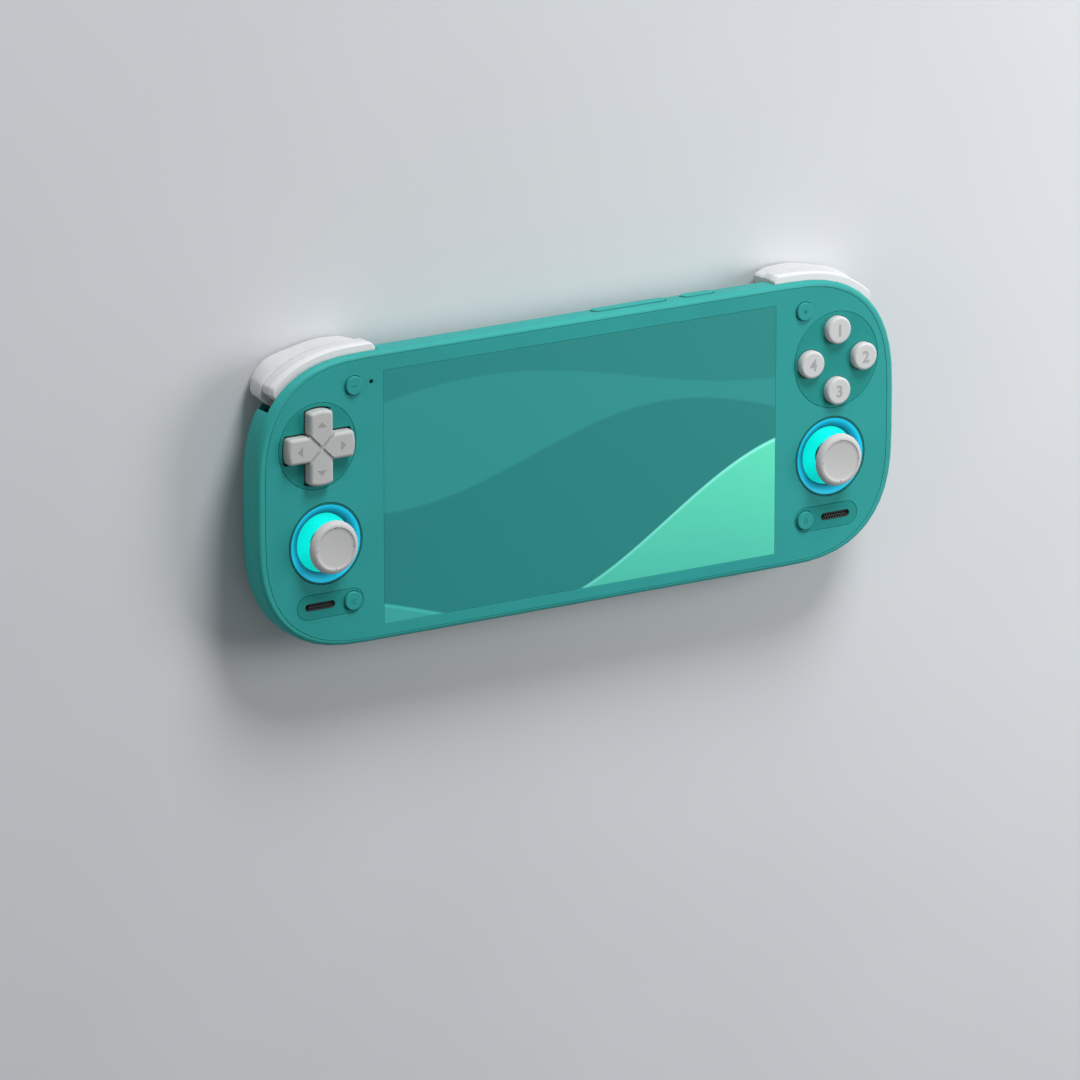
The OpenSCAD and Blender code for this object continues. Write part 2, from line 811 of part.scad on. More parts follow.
battery_drop = 12.75;
battery_t = 5.6;
module battery() {
    w = main_half_w - battery_side;
    color(wrap_grey)
        block([-w, w], [main_top_y + battery_gap, half_h - battery_drop], [wall, wall + battery_t]);
}

// Strip behind the top edge keys
module key_board() {
    color(board_green) block(
        [volume_x - volume_w / 2, power_x + power_w / 2],
        [key_board_y, key_board_y + key_board_t], [key_z - key_h / 2, plate_z]
    );
}

switch_size = 3.4;
switch_t = 1.2;
plunger_r = 0.8;
button_plunger = flange_z - small_travel - clear - board_top - switch_t;
top_switch_shift = [0.6, -0.9];
// Switches on edge, a smaller kind
edge_switch = 2.4;
edge_switch_t = 0.85;
bumper_plunger = 0.35;
key_plunger = key_in_y - key_travel - clear - key_board_y - key_board_t - edge_switch_t;
bumper_switch_in = 15.2;
bumper_switch_drop = 10.4;
module tact_switch(size, t, plunger) {
    block([-size / 2, size / 2], [-size / 2, size / 2], [0, t]);
    translate([0, 0, t]) cylinder(r = size * plunger_r / switch_size, h = plunger);
}
module tact_switches() {
    color(steel) {
        both_sides() {
            at([top_button_x, top_button_y] + top_switch_shift, board_top)
                tact_switch(switch_size, switch_t, button_plunger);
            at([low_button_x, pill_y], board_top) tact_switch(switch_size, switch_t, button_plunger);
            at([half_w - bumper_switch_in, half_h - bumper_switch_drop], board_top + edge_switch / 2)
                rotate([-90, 0, 0]) tact_switch(edge_switch, edge_switch_t, bumper_plunger);
        }
        for (x = [volume_x - volume_w / 3, volume_x + volume_w / 3, power_x])
            at([x, key_board_y + key_board_t], key_z)
                rotate([-90, 0, 0]) tact_switch(edge_switch, edge_switch_t, key_plunger);
    }
}
module microphone() {
    color(steel) at([mic_x, mic_y], plate_z + seam) cylinder(r = mic_can_r, h = plate_t - 2 * seam);
}

// Rubber domes under the pad and under the face buttons
dome_r = 2.4;
membrane_t = 0.6;
dome_h = flange_z - face_travel - clear - board_top - membrane_t;
pad_dome_reach = 6.6;
membrane_hole_r = 3.4;
membrane_rim = 0.5;
module membrane(centre, reach, r) {
    color(rubber) {
        at(centre, board_top) linear_extrude(membrane_t) difference() {
            circle(r);
            circle(membrane_hole_r);
        }
        for (i = [0:3]) at(centre + reach * [sin(90 * i), cos(90 * i)], board_top + membrane_t)
            cylinder(r = dome_r, h = dome_h);
    }
}
module dpad_membrane() { membrane([-pad_x, pad_y], pad_dome_reach, pad_r); }
module face_membrane() { membrane([face_x, pad_y], face_reach, face_reach + dome_r + membrane_rim); }

// Sockets on the lower edge
tongue_w = 6.7;
tongue_t = 0.7;
module usb_port() {
    w = usb_w + 2 * usb_shell;
    h = usb_h + 2 * usb_shell;
    y0 = -half_h + seam;
    color(steel) {
        difference() {
            block([-w / 2, w / 2], [y0, y0 + usb_length], [socket_z - h / 2, socket_z + h / 2]);
            block(
                [-usb_w / 2, usb_w / 2], [y0 - over, y0 + usb_length - socket_back],
                [socket_z - usb_h / 2, socket_z + usb_h / 2]
            );
        }
        block(
            [-tongue_w / 2, tongue_w / 2], [y0 + socket_back, y0 + usb_length],
            [socket_z - tongue_t / 2, socket_z + tongue_t / 2]
        );
    }
}
module headphone_jack() {
    y0 = -half_h + seam;
    color(black) difference() {
        union() {
            at([jack_x, y0], jack_z) rotate([-90, 0, 0]) cylinder(r = jack_barrel_r, h = socket_deep);
            block(
                [jack_x - jack_half, jack_x + jack_half], [-half_h + socket_deep, -half_h + jack_length],
                [jack_z - jack_barrel_r, jack_z + jack_barrel_r]
            );
        }
        at([jack_x, y0 - over], jack_z) rotate([-90, 0, 0])
            cylinder(r = jack_r, h = over + jack_length - socket_back);
    }
}
module card_slot() {
    w = card_w + 2 * card_shell;
    h = card_slot_h + 2 * card_shell;
    y0 = -half_h + socket_deep;
    color(steel) difference() {
        block([card_x - w / 2, card_x + w / 2], [y0, y0 + card_length], [main_top, main_top + h]);
        block(
            [card_x - card_w / 2, card_x + card_w / 2], [y0 - over, y0 + card_length - socket_back],
            [main_top + card_shell, main_top + card_shell + card_slot_h]
        );
    }
}

// Stick housing, open on top for the gimbal
module stick_base() {
    color(black) at([stick_x, stick_y], 0) difference() {
        block([-base_half, base_half], [-base_half, base_half], [base_z, plate_z]);
        block(
            [-base_half + base_wall, base_half - base_wall], [-base_half + base_wall, base_half - base_wall],
            [base_z + base_floor, plate_z + over]
        );
    }
}
module left_stick_base() { on_side(-1) stick_base(); }
module right_stick_base() { on_side(1) stick_base(); }

// Steel pins through both shoulder keys
module shoulder_pins() {
    color(steel) both_sides() at([shoulder_pin_x, shoulder_pin_y], pin_foot + seat)
        cylinder(r = pin_r, h = plate_z + plate_t / 2 - pin_foot - 2 * seat);
}

// Torsion springs round the pins, under the triggers
spring_wire_r = 0.2;
spring_turns = 3;
spring_pitch = 0.5;
spring_steps = 12;
spring_leg = 1.6;
spring_sides = 6;
spring_gap = 0.35;
spring_r = pin_r + spring_wire_r + spring_gap;
spring_low = wall + pin_boss_h + spring_wire_r + seam;
function spring_point(a) = [spring_r * cos(a), spring_r * sin(a), a / 360 * spring_pitch];
function spring_path() = let (n = spring_turns * spring_steps) concat(
    [spring_point(0) + [0, -spring_leg, 0]],
    [for (i = [0:n]) spring_point(360 * i / spring_steps)],
    [spring_point(360 * spring_turns) + [0, spring_leg, 0]]
);
// Ring of points round a path point, square to the path
function wire_ring(path, i, r) =
    let (a = path[max(i - 1, 0)], b = path[min(i + 1, len(path) - 1)], d = (b - a) / norm(b - a))
    let (side = cross(d, [0, 0, 1]) / norm(cross(d, [0, 0, 1])), up = cross(side, d))
    [
        for (k = [0:spring_sides - 1])
            let (t = -360 * k / spring_sides)
            path[i] + r * (cos(t) * side + sin(t) * up)
    ];
module trigger_springs() {
    path = spring_path();
    color(steel) both_sides() at([shoulder_pin_x, shoulder_pin_y], spring_low)
        skin([for (i = [0:len(path) - 1]) wire_ring(path, i, spring_wire_r)]);
}

// Flat cables from the side boards and the display to the main board
cable_w = 8;
cable_t = 0.3;
cable_y = -21;
cable_lap = 4;
cable_tip = 1;
cable_turn = 2;
module ribbon_cables() {
    z1 = main_top + cable_t;
    x1 = board_in_x - cable_turn;
    y = [cable_y, cable_y + cable_w];
    color(film_amber) {
        both_sides() {
            block([main_half_w - cable_lap, x1], y, [main_top, z1]);
            block([x1, x1 + cable_t], y, [main_top, board_top + cable_t]);
            block([x1 + cable_t, board_in_x + cable_tip], y, [board_top, board_top + cable_t]);
        }
        block([-cable_w, cable_w], [main_top_y - cable_lap, main_top_y], [main_top, z1]);
        block([-cable_w, cable_w], [main_top_y, main_top_y + cable_t], [main_top, plate_z]);
    }
}

module screw(r, head_r, head_t, l) {
    cylinder(r = head_r, h = head_t);
    translate([0, 0, head_t]) cylinder(r = r, h = l);
}
module case_screws() {
    l = wall - screw_sink - screw_head_t + case_screw_l - seam;
    color(steel) both_sides() for (p = case_points)
        at(p, screw_sink) screw(screw_r, screw_head_r, screw_head_t, l);
}
board_head_t = 0.6;
board_head_r = 1.2;
module board_screw(z, t) {
    translate([0, 0, z - board_head_t])
        screw(board_screw_r, board_head_r, board_head_t, t + board_screw_l - seam);
}
module board_screws() {
    color(steel) both_sides() {
        for (p = board_points) at(p, 0) board_screw(board_back, board_t);
        for (p = main_points) at(p, 0) board_screw(main_back, main_t);
    }
}

// Rocking pad on a small two-way pivot
pivot_rise = 1.1;
pivot_z = board_top + pivot_rise;
pivot_half = 1.2;
pivot_t = 1.2;
pivot_pin_r = 0.45;
pivot_ear_gap = 0.15;
pivot_ear_t = 1;
pivot_ear_half = 1;
pivot_ear_tip = 0.7;
pad_flange_side = 0.4;
pad_flange_r = pad_hole_r - pad_flange_side;
pad_flange_gap = pad_flange_r * sin(sqrt(2) * pad_tilt) + clear;
pad_flange_z = panel_z - pad_flange_gap - flange_t;
pad_edge = 0.3;
pad_groove = 0.6;
pad_groove_l = 7;
arrow_r = 1.1;
arrow_reach = 7.6;
arrow_rise = 0.15;

// Pair of ears across the X axis with a bore for the pivot's pins
module pivot_ears(z0, z1) {
    near = pivot_half + pivot_ear_gap;
    far = near + pivot_ear_t;
    difference() {
        for (x = [[-far, -near], [near, far]]) block(x, [-pivot_ear_half, pivot_ear_half], [z0, z1]);
        translate([-2 * pivot_half - pivot_ear_t, 0, pivot_z]) rotate([0, 90, 0])
            cylinder(r = pivot_pin_r + pin_gap, h = 4 * pivot_half + 2 * pivot_ear_t);
    }
}
module pad_stand() {
    color(board_green) at([-pad_x, pad_y], 0) pivot_ears(board_top, pivot_z + pivot_ear_tip);
}
module dpad_pivot() {
    pin_l = 2 * (pivot_half + pivot_ear_gap + pivot_ear_t) - seam;
    color(grey) at([-pad_x, pad_y], pivot_z) {
        cube([2 * pivot_half, 2 * pivot_half, pivot_t], center = true);
        rotate([0, 90, 0]) cylinder(r = pivot_pin_r, h = pin_l, center = true);
        rotate([90, 0, 0]) cylinder(r = pivot_pin_r, h = pin_l, center = true);
    }
}
module dpad() {
    top_z = front_z + pad_rise;
    color(white) at([-pad_x, pad_y], 0) {
        difference() {
            union() {
                translate([0, 0, pad_flange_z]) cylinder(r = pad_flange_r, h = flange_t);
                translate([0, 0, pad_flange_z]) linear_extrude(top_z - pad_edge - pad_flange_z) pad_2d(0);
                translate([0, 0, top_z - pad_edge]) linear_extrude(pad_edge) pad_2d(-pad_edge);
                for (a = [0:90:270]) rotate(a) translate([arrow_reach, 0, top_z])
                    cylinder(r = arrow_r, h = arrow_rise, $fn = 3);
            }
            for (a = [45, 135]) rotate(a) translate([0, 0, top_z]) rotate([45, 0, 0])
                cube([pad_groove_l, pad_groove, pad_groove], center = true);
        }
        rotate(90) pivot_ears(pivot_z - pivot_ear_tip, pad_flange_z);
    }
}

// Round button with a rounded top edge and a retaining flange
module round_button(xy, r, rise, fillet) {
    top_z = front_z + rise - flange_z;
    at(xy, flange_z) rotate_extrude() polygon(concat(
        [[0, 0], [r + flange_grow, 0], [r + flange_grow, flange_t], [r, flange_t]],
        [for (a = [0:fillet_turn:90]) [r - fillet * (1 - cos(a)), top_z - fillet * (1 - sin(a))]],
        [[0, top_z]]
    ));
}
face_fillet = 0.8;
small_fillet = 0.3;
module button_1() { color(white) round_button(face_place(0), face_r, face_rise, face_fillet); }
module button_2() { color(white) round_button(face_place(1), face_r, face_rise, face_fillet); }
module button_3() { color(white) round_button(face_place(2), face_r, face_rise, face_fillet); }
module button_4() { color(white) round_button(face_place(3), face_r, face_rise, face_fillet); }
module top_button(side) {
    color(teal) round_button([side * top_button_x, top_button_y], small_r, small_rise, small_fillet);
}
module low_button(side) {
    color(teal) round_button([side * low_button_x, pill_y], small_r, small_rise, small_fillet);
}
module left_top_button() { top_button(-1); }
module right_top_button() { top_button(1); }
module left_low_button() { low_button(-1); }
module right_low_button() { low_button(1); }

// Stick: the carrier slides to click, the yoke tilts about X, the shaft and cap tilt about Y
module square_ring(outer, inner, half_t) {
    difference() {
        cube([2 * outer, 2 * outer, 2 * half_t], center = true);
        cube([2 * inner, 2 * inner, 2 * half_t + 2 * over], center = true);
    }
}
module stick_carrier() {
    color(steel) at([stick_x, stick_y], stick_pivot_z) {
        square_ring(carrier_out, carrier_in, carrier_half_t);
        for (s = [-1, 1]) rotate([0, 90 * s, 0]) translate([0, 0, carrier_pin_tip])
            cylinder(r = carrier_pin_r, h = carrier_out - carrier_pin_tip - seam);
    }
}
module stick_yoke() {
    color(grey) at([stick_x, stick_y], stick_pivot_z) {
        difference() {
            square_ring(yoke_out, yoke_in, yoke_half_t);
            rotate([0, 90, 0]) cylinder(r = carrier_pin_r + pin_gap, h = 2 * yoke_out + over, center = true);
        }
        for (s = [-1, 1]) rotate([90 * s, 0, 0]) translate([0, 0, yoke_pin_tip])
            cylinder(r = yoke_pin_r, h = yoke_out - yoke_pin_tip - seam);
    }
}
module stick_shaft() {
    color(steel) at([stick_x, stick_y], stick_pivot_z) difference() {
        union() {
            cube(hub, center = true);
            cylinder(r = shaft_r, h = cap_low_z + shaft_sink - seam - stick_pivot_z);
        }
        rotate([90, 0, 0]) cylinder(r = yoke_pin_r + pin_gap, h = hub[1] + over, center = true);
    }
}
module stick_cap() {
    bore_r = shaft_r + seat;
    color(grey) at([stick_x, stick_y], cap_low_z) rotate_extrude() polygon(concat(
        [[0, shaft_sink], [bore_r, shaft_sink], [bore_r, -neck_l], [neck_r, -neck_l], [neck_r, 0]],
        [[cap_r - cap_under, 0], [cap_r - cap_fillet / 3, cap_fillet / 3]],
        [for (a = [0:fillet_turn:90]) [cap_r - cap_fillet * (1 - cos(a)), cap_t - cap_fillet * (1 - sin(a))]],
        [[dish_r, cap_t], [dish_r - dish_depth, cap_t - dish_depth], [0, cap_t - dish_depth]]
    ));
}
module left_stick_carrier() { on_side(-1) stick_carrier(); }
module left_stick_yoke() { on_side(-1) stick_yoke(); }
module left_stick_shaft() { on_side(-1) stick_shaft(); }
module left_stick_cap() { on_side(-1) stick_cap(); }
module right_stick_carrier() { on_side(1) stick_carrier(); }
module right_stick_yoke() { on_side(1) stick_yoke(); }
module right_stick_shaft() { on_side(1) stick_shaft(); }
module right_stick_cap() { on_side(1) stick_cap(); }

// Shoulder keys: a bar swept round the corner, with a knuckle on the pin
knuckle_r = 2.6;
knuckle_web = 1.9;
knuckle_gap = 0.2;
web_lap = 0.2;
trigger_knuckle_rise = 2.5;
key_fillet = 0.9;
end_round = 0.06;
function end_ramp(f) = sin(90 * min(1, min(f, 1 - f) / end_round));

// Sections are lists of offset from the body's edge and height, from the inner end 0 to the outer end 1
function bumper_section(f) = let (k = key_fillet, out = bumper_proud * (1 + end_ramp(f)) / 2) [
    [-bumper_deep, bumper_low], [out - k, bumper_low], [out - k / 4, bumper_low + k / 3],
    [out, bumper_low + k], [out, bumper_top - k], [out - k / 4, bumper_top - k / 3],
    [out - k, bumper_top], [-bumper_deep, bumper_top]
];
function swell(f, middle, w) = exp(-pow((f - middle) / w, 2));
function trigger_out(f) = trigger_proud + inner_swell * swell(f, inner_swell_at, inner_swell_w)
    + outer_swell * swell(f, outer_swell_at, outer_swell_w) * sqrt(min(1, (1 - f) / outer_taper));
function trigger_section(f) =
    let (low = tail_z + tail_rise * pow(1 - sin(180 * f), 2), out = trigger_out(f), k = key_fillet)
    concat(
        [[-trigger_deep, trigger_low], [-skirt_deep, trigger_low - clear], [-skirt_deep, low]],
        [for (a = [90:-tail_turn:0])
            [out - tail_round_in * (1 - cos(a)), low + tail_round_up * (1 - sin(a))]],
        [[out, trigger_top - k], [out - k / 2, trigger_top], [-trigger_deep, trigger_top]]
    );
function key_ring(place, section) = [
    for (p = section) let (e = edge_point(place, p[0])) [e[0], e[1], p[1]]
];
module knuckle(z0, z1, deep) {
    at([shoulder_pin_x, shoulder_pin_y], z0) cylinder(r = knuckle_r, h = z1 - z0);
    block(
        [shoulder_pin_x - knuckle_web, shoulder_pin_x + knuckle_web],
        [shoulder_pin_y, half_h - deep + web_lap], [z0, z1]
    );
}
module pin_bore() {
    at([shoulder_pin_x, shoulder_pin_y], 0) cylinder(r = pin_r + pin_gap, h = front_z);
}
module bumper() {
    places = shoulder_places(bumper_x, half_h - bumper_drop);
    n = len(places) - 1;
    color(white) difference() {
        union() {
            skin([for (i = [0:n]) key_ring(places[i], bumper_section(i / n))]);
            knuckle(bumper_low, flange_z - small_travel - clear, bumper_deep);
        }
        pin_bore();
    }
}
module trigger() {
    places = shoulder_places(trigger_x, half_h - trigger_drop);
    n = len(places) - 1;
    color(white) difference() {
        union() {
            skin([for (i = [0:n]) key_ring(places[i], trigger_section(i / n))]);
            knuckle(trigger_low + trigger_knuckle_rise, trigger_top - knuckle_gap, trigger_deep);
        }
        pin_bore();
    }
}
module left_bumper() { on_side(-1) bumper(); }
module right_bumper() { on_side(1) bumper(); }
module left_trigger() { on_side(-1) trigger(); }
module right_trigger() { on_side(1) trigger(); }

// Keys of the top edge
key_flange = 0.8;
key_flange_t = 0.9;
key_flange_drop = 0.2;
rocker_hub_r = 1.4;
module edge_key(x, w) {
    at([x, key_in_y], key_z) rotate([-90, 0, 0])
        linear_extrude(half_h + key_proud - key_in_y) pill_2d(w, key_h);
    block(
        [x - w / 2 - key_flange, x + w / 2 + key_flange], [key_in_y, key_in_y + key_flange_t],
        [key_z - key_h / 2 + key_flange_drop, key_z + key_h / 2 - key_flange_drop]
    );
}
module volume_rocker() {
    color(teal) difference() {
        union() {
            edge_key(volume_x, volume_w);
            at([volume_x, rocker_y], key_z - key_h / 2 + key_flange_drop)
                cylinder(r = rocker_hub_r, h = plate_z - key_z + key_h / 2 - 2 * key_flange_drop);
        }
        at([volume_x, rocker_y], key_z - key_h) cylinder(r = rocker_pin_r + pin_gap, h = 2 * key_h);
    }
}
module power_button() { color(teal) edge_key(power_x, power_w); }

front_frame();
front_panel();
rear_shell();
inner_frame();
screen_lens();
display_panel();
dpad_inlay();
face_inlay();
left_speaker_inlay();
right_speaker_inlay();
speaker_meshes();
light_rings();
light_discs();
left_speaker();
right_speaker();
left_board();
right_board();
main_board();
key_board();
tact_switches();
microphone();
dpad_membrane();
face_membrane();
battery();
heat_spreader();
usb_port();
headphone_jack();
card_slot();
left_stick_base();
right_stick_base();
shoulder_pins();
trigger_springs();
ribbon_cables();
case_screws();
board_screws();
dpad_pivot();
dpad();
button_1();
button_2();
button_3();
button_4();
left_top_button();
right_top_button();
left_low_button();
right_low_button();
left_stick_carrier();
left_stick_yoke();
left_stick_shaft();
left_stick_cap();
right_stick_carrier();
right_stick_yoke();
right_stick_shaft();
right_stick_cap();
left_bumper();
right_bumper();
left_trigger();
right_trigger();
volume_rocker();
power_button();
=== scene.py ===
"""Looks of a handheld game console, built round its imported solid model."""

import json
import math

import bmesh
import bpy
from mathutils import Matrix, Vector


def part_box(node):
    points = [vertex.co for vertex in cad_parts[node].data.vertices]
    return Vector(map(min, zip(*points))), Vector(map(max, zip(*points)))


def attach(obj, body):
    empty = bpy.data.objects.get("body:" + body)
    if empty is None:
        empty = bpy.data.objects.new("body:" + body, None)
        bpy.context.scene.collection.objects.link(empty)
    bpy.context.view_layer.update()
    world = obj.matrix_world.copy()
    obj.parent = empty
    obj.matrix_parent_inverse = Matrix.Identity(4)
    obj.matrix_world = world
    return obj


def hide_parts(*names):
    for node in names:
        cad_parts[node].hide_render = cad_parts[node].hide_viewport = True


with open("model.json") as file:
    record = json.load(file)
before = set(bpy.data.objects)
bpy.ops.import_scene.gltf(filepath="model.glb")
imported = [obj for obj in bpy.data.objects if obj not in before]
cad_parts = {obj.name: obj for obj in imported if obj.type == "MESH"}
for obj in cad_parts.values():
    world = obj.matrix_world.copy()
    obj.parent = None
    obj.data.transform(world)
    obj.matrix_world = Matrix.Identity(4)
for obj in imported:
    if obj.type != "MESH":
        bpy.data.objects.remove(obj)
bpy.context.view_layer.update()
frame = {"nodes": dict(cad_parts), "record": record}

# Lengths below are in millimetres, and the pieces are made in metres
MM = 0.001


# Places and sizes that the frame gives
def place(node):
    """Middle of a node's box, in millimetres."""
    low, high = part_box(node)
    return (low + high) / 2 / MM


def reach(node):
    """Size of a node's box, in millimetres."""
    low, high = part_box(node)
    return (high - low) / MM


def top(node):
    """Highest point of a node, in millimetres."""
    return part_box(node)[1].z / MM


HALF_W, HALF_H, FRONT_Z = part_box("front_frame")[1] / MM
SIDES = {"left": -1, "right": 1}

# Sizes of the case's outline, as in the solid model
CORNER_R = 33
CORNER_POWER = 2.55

# Colours as they show in even light, 8-bit display values
TEAL = (48, 155, 151)
TEAL_EDGE = (47, 157, 151)
TEAL_INLAY = (36, 142, 136)
TEAL_BACK = (40, 146, 142)
WHITE = (214, 215, 216)
GREY_WHITE = (202, 203, 203)
PAD_GREY = (186, 187, 186)
# Triangles on the pad: the pad's grey, darkened as painted shade
PAD_MARK_SHADE_GREY = (158, 159, 158)
PRINT = (166, 167, 168)
STICK_GREY = (192, 192, 192)
STICK_MARK_GREY = (150, 151, 152)
BLACK = (14, 15, 16)
# Inner colour of the blue ring, darker as painted shade on its hollow slope
RING_SHADE_BLUE = (18, 100, 120)
RING_SKY = (32, 196, 232)
RING_LIP = (30, 108, 104)
DISC_CYAN = (8, 224, 212)
DISC_RIM = (8, 216, 206)
SCREEN_BASE = (46, 138, 135)
SCREEN_DARK = (38, 124, 121)
SCREEN_LIGHT = (58, 158, 150)
SCREEN_MINT = (92, 214, 178)
SCREEN_LINE = (132, 236, 214)
PANEL_BLACK = (20, 24, 26)
STEEL = (178, 181, 184)
ALLOY = (96, 99, 102)
MESH_GREY = (78, 79, 81)
MASK_GREEN = (18, 84, 52)
MASK_LIGHT = (22, 96, 58)
TRACK_GREEN = (46, 128, 78)
RUBBER_GREY = (168, 168, 162)
WRAP_GREY = (52, 54, 58)
FILM_AMBER = (176, 112, 40)
INNER_GREY = (128, 130, 132)
FLOOR = (210, 213, 216)


def linear(colour, gain=1.0):
    """Linear RGBA of an 8-bit display colour, made lighter or darker by gain."""
    def channel(value):
        """Linear value of one 8-bit channel."""
        value = value / 255
        return value / 12.92 if value <= 0.04045 else ((value + 0.055) / 1.055) ** 2.4
    return (*[min(1.0, channel(v) * gain) for v in colour], 1.0)


# Node helpers
def add(tree, kind, inputs=None, **settings):
    """New shader node with its settings and its unlinked inputs."""
    node = tree.nodes.new(kind)
    for key, value in settings.items():
        setattr(node, key, value)
    for key, value in (inputs or {}).items():
        node.inputs[key].default_value = value
    return node


def start(name, roughness, specular=0.5):
    """Material with its tree, its shader and the place on the object in metres."""
    material = bpy.data.materials.new(name + "_look")
    material.use_nodes = True
    tree = material.node_tree
    shader = tree.nodes["Principled BSDF"]
    shader.inputs["Roughness"].default_value = roughness
    shader.inputs["Specular IOR Level"].default_value = specular
    spot = add(tree, "ShaderNodeTexCoord").outputs["Object"]
    return material, tree, shader, spot


def along_axes(tree, spot):
    """X, Y and Z of a place, by name."""
    split = add(tree, "ShaderNodeSeparateXYZ")
    tree.links.new(spot, split.inputs["Vector"])
    return split.outputs


def noise(tree, spot, size, detail=3.0, rough=0.55):
    """Cloudy noise whose patches are about size millimetres."""
    node = add(tree, "ShaderNodeTexNoise", {"Scale": 1 / (size * MM), "Detail": detail, "Roughness": rough})
    tree.links.new(spot, node.inputs["Vector"])
    return node.outputs["Fac"]


def remap(tree, value, low, high, start_at=0.3, end_at=0.7):
    """Value stretched from start_at..end_at to low..high."""
    node = add(tree, "ShaderNodeMapRange", {
        "From Min": start_at, "From Max": end_at, "To Min": low, "To Max": high})
    tree.links.new(value, node.inputs["Value"])
    return node.outputs["Result"]


def mix(tree, amount, colour_a, colour_b):
    """Colour between two, each a linear RGBA or another node's output."""
    node = add(tree, "ShaderNodeMix", data_type="RGBA")
    tree.links.new(amount, node.inputs["Factor"])
    for slot_name, colour in (("A", colour_a), ("B", colour_b)):
        socket = next(s for s in node.inputs if s.name == slot_name and s.type == "RGBA")
        if isinstance(colour, tuple):
            socket.default_value = colour
        else:
            tree.links.new(colour, socket)
    return next(s for s in node.outputs if s.type == "RGBA")


def calc(tree, operation, first, second=None):
    """Result of a math node on outputs or numbers."""
    node = add(tree, "ShaderNodeMath", operation=operation)
    for socket, value in zip(node.inputs, (first, second)):
        if value is None:
            continue
        if isinstance(value, (int, float)):
            socket.default_value = value
        else:
            tree.links.new(value, socket)
    return node.outputs["Value"]


def roughen(tree, shader, height, depth, strength=1.0):
    """Bump of depth millimetres on a shader."""
    node = add(tree, "ShaderNodeBump", {"Strength": strength, "Distance": depth * MM})
    tree.links.new(height, node.inputs["Height"])
    tree.links.new(node.outputs["Normal"], shader.inputs["Normal"])


# Moulded plastic: size of its cloudy tone, share and depth of its specks, and spread of its gloss
CLOUD = 28
SPECK_SHARE = 0.16
SPECK_DEEP = 4
GLOSS_DOWN = 0.06
GLOSS_UP = 0.08
GRAIN_BUMP = 0.6


def moulded(name, colour, roughness=0.5, grain=0.35, vary=0.05, depth=0.012, specular=0.12):
    """Moulded plastic: fine spark-eroded grain, faint cloudy tone and gloss that follows the grain."""
    material, tree, shader, spot = start(name, roughness, specular)
    clouds = noise(tree, spot, CLOUD, detail=2.0)
    fine = noise(tree, spot, grain, detail=2.0)
    tone = mix(tree, remap(tree, clouds, 0, 1), linear(colour, 1 - vary), linear(colour, 1 + vary))
    speck = mix(tree, remap(tree, fine, 0, SPECK_SHARE), tone, linear(colour, 1 - SPECK_DEEP * vary))
    gloss = remap(tree, fine, roughness - GLOSS_DOWN, roughness + GLOSS_UP)
    tree.links.new(speck, shader.inputs["Base Color"])
    tree.links.new(gloss, shader.inputs["Roughness"])
    roughen(tree, shader, fine, depth, GRAIN_BUMP)
    return material


# Grip surface: pitch, turn, edge and tone of its raised dots, and the plain part beside them; the dots are
# lighter and the gaps between them darker, as painted highlight and painted shade
DOT_PITCH = 0.55
DOT_DEPTH = 0.03
DOT_TURN = (0.5, 0.4, 0.7)
DOT_STRAY = 0.15
DOT_CORE = 0.15
DOT_EDGE = 0.5
DOT_GAP_SHADE = 0.84
DOT_TOP_HIGHLIGHT = 1.05
DOT_ROUGH = 0.6
DOT_SPECULAR = 0.15
DOT_FADE = 0.25
PLAIN_ROUGH = 0.4
PLAIN_LEVEL = 0.8


def dotted(name, colour, plain_z):
    """Plastic with the fine raised dots of a grip surface in slanted rows, plain above a height, with
    painted shade between the dots and a painted highlight on them.
    """
    material, tree, shader, spot = start(name, DOT_ROUGH, DOT_SPECULAR)
    rows = add(tree, "ShaderNodeMapping", {"Rotation": DOT_TURN, "Scale": (1 / (DOT_PITCH * MM),) * 3})
    tree.links.new(spot, rows.inputs["Vector"])
    cells = add(tree, "ShaderNodeTexVoronoi", {"Scale": 1.0, "Randomness": DOT_STRAY})
    tree.links.new(rows.outputs["Vector"], cells.inputs["Vector"])
    height = along_axes(tree, spot)["Z"]
    plain = remap(tree, height, 0, 1, (plain_z - DOT_FADE) * MM, (plain_z + DOT_FADE) * MM)
    dots = remap(tree, cells.outputs["Distance"], 1, 0, DOT_CORE, DOT_EDGE)
    raised = calc(tree, "MAXIMUM", dots, calc(tree, "MULTIPLY", plain, PLAIN_LEVEL))
    # Dots lighter and the gaps between them darker: painted highlight and painted shade
    tone = mix(tree, raised, linear(colour, DOT_GAP_SHADE), linear(colour, DOT_TOP_HIGHLIGHT))
    tree.links.new(tone, shader.inputs["Base Color"])
    tree.links.new(remap(tree, plain, DOT_ROUGH, PLAIN_ROUGH, 0, 1), shader.inputs["Roughness"])
    roughen(tree, shader, calc(tree, "MAXIMUM", dots, plain), DOT_DEPTH, GRAIN_BUMP)
    return material


# Bare metal: length, slimness and tone of its brush marks, and spread of its gloss
BRUSH = 1.2
BRUSH_SLIM = 6.0
BRUSH_DARK = 0.8
BRUSH_LIGHT = 1.1
SHEEN_DOWN = 0.08
SHEEN_UP = 0.12


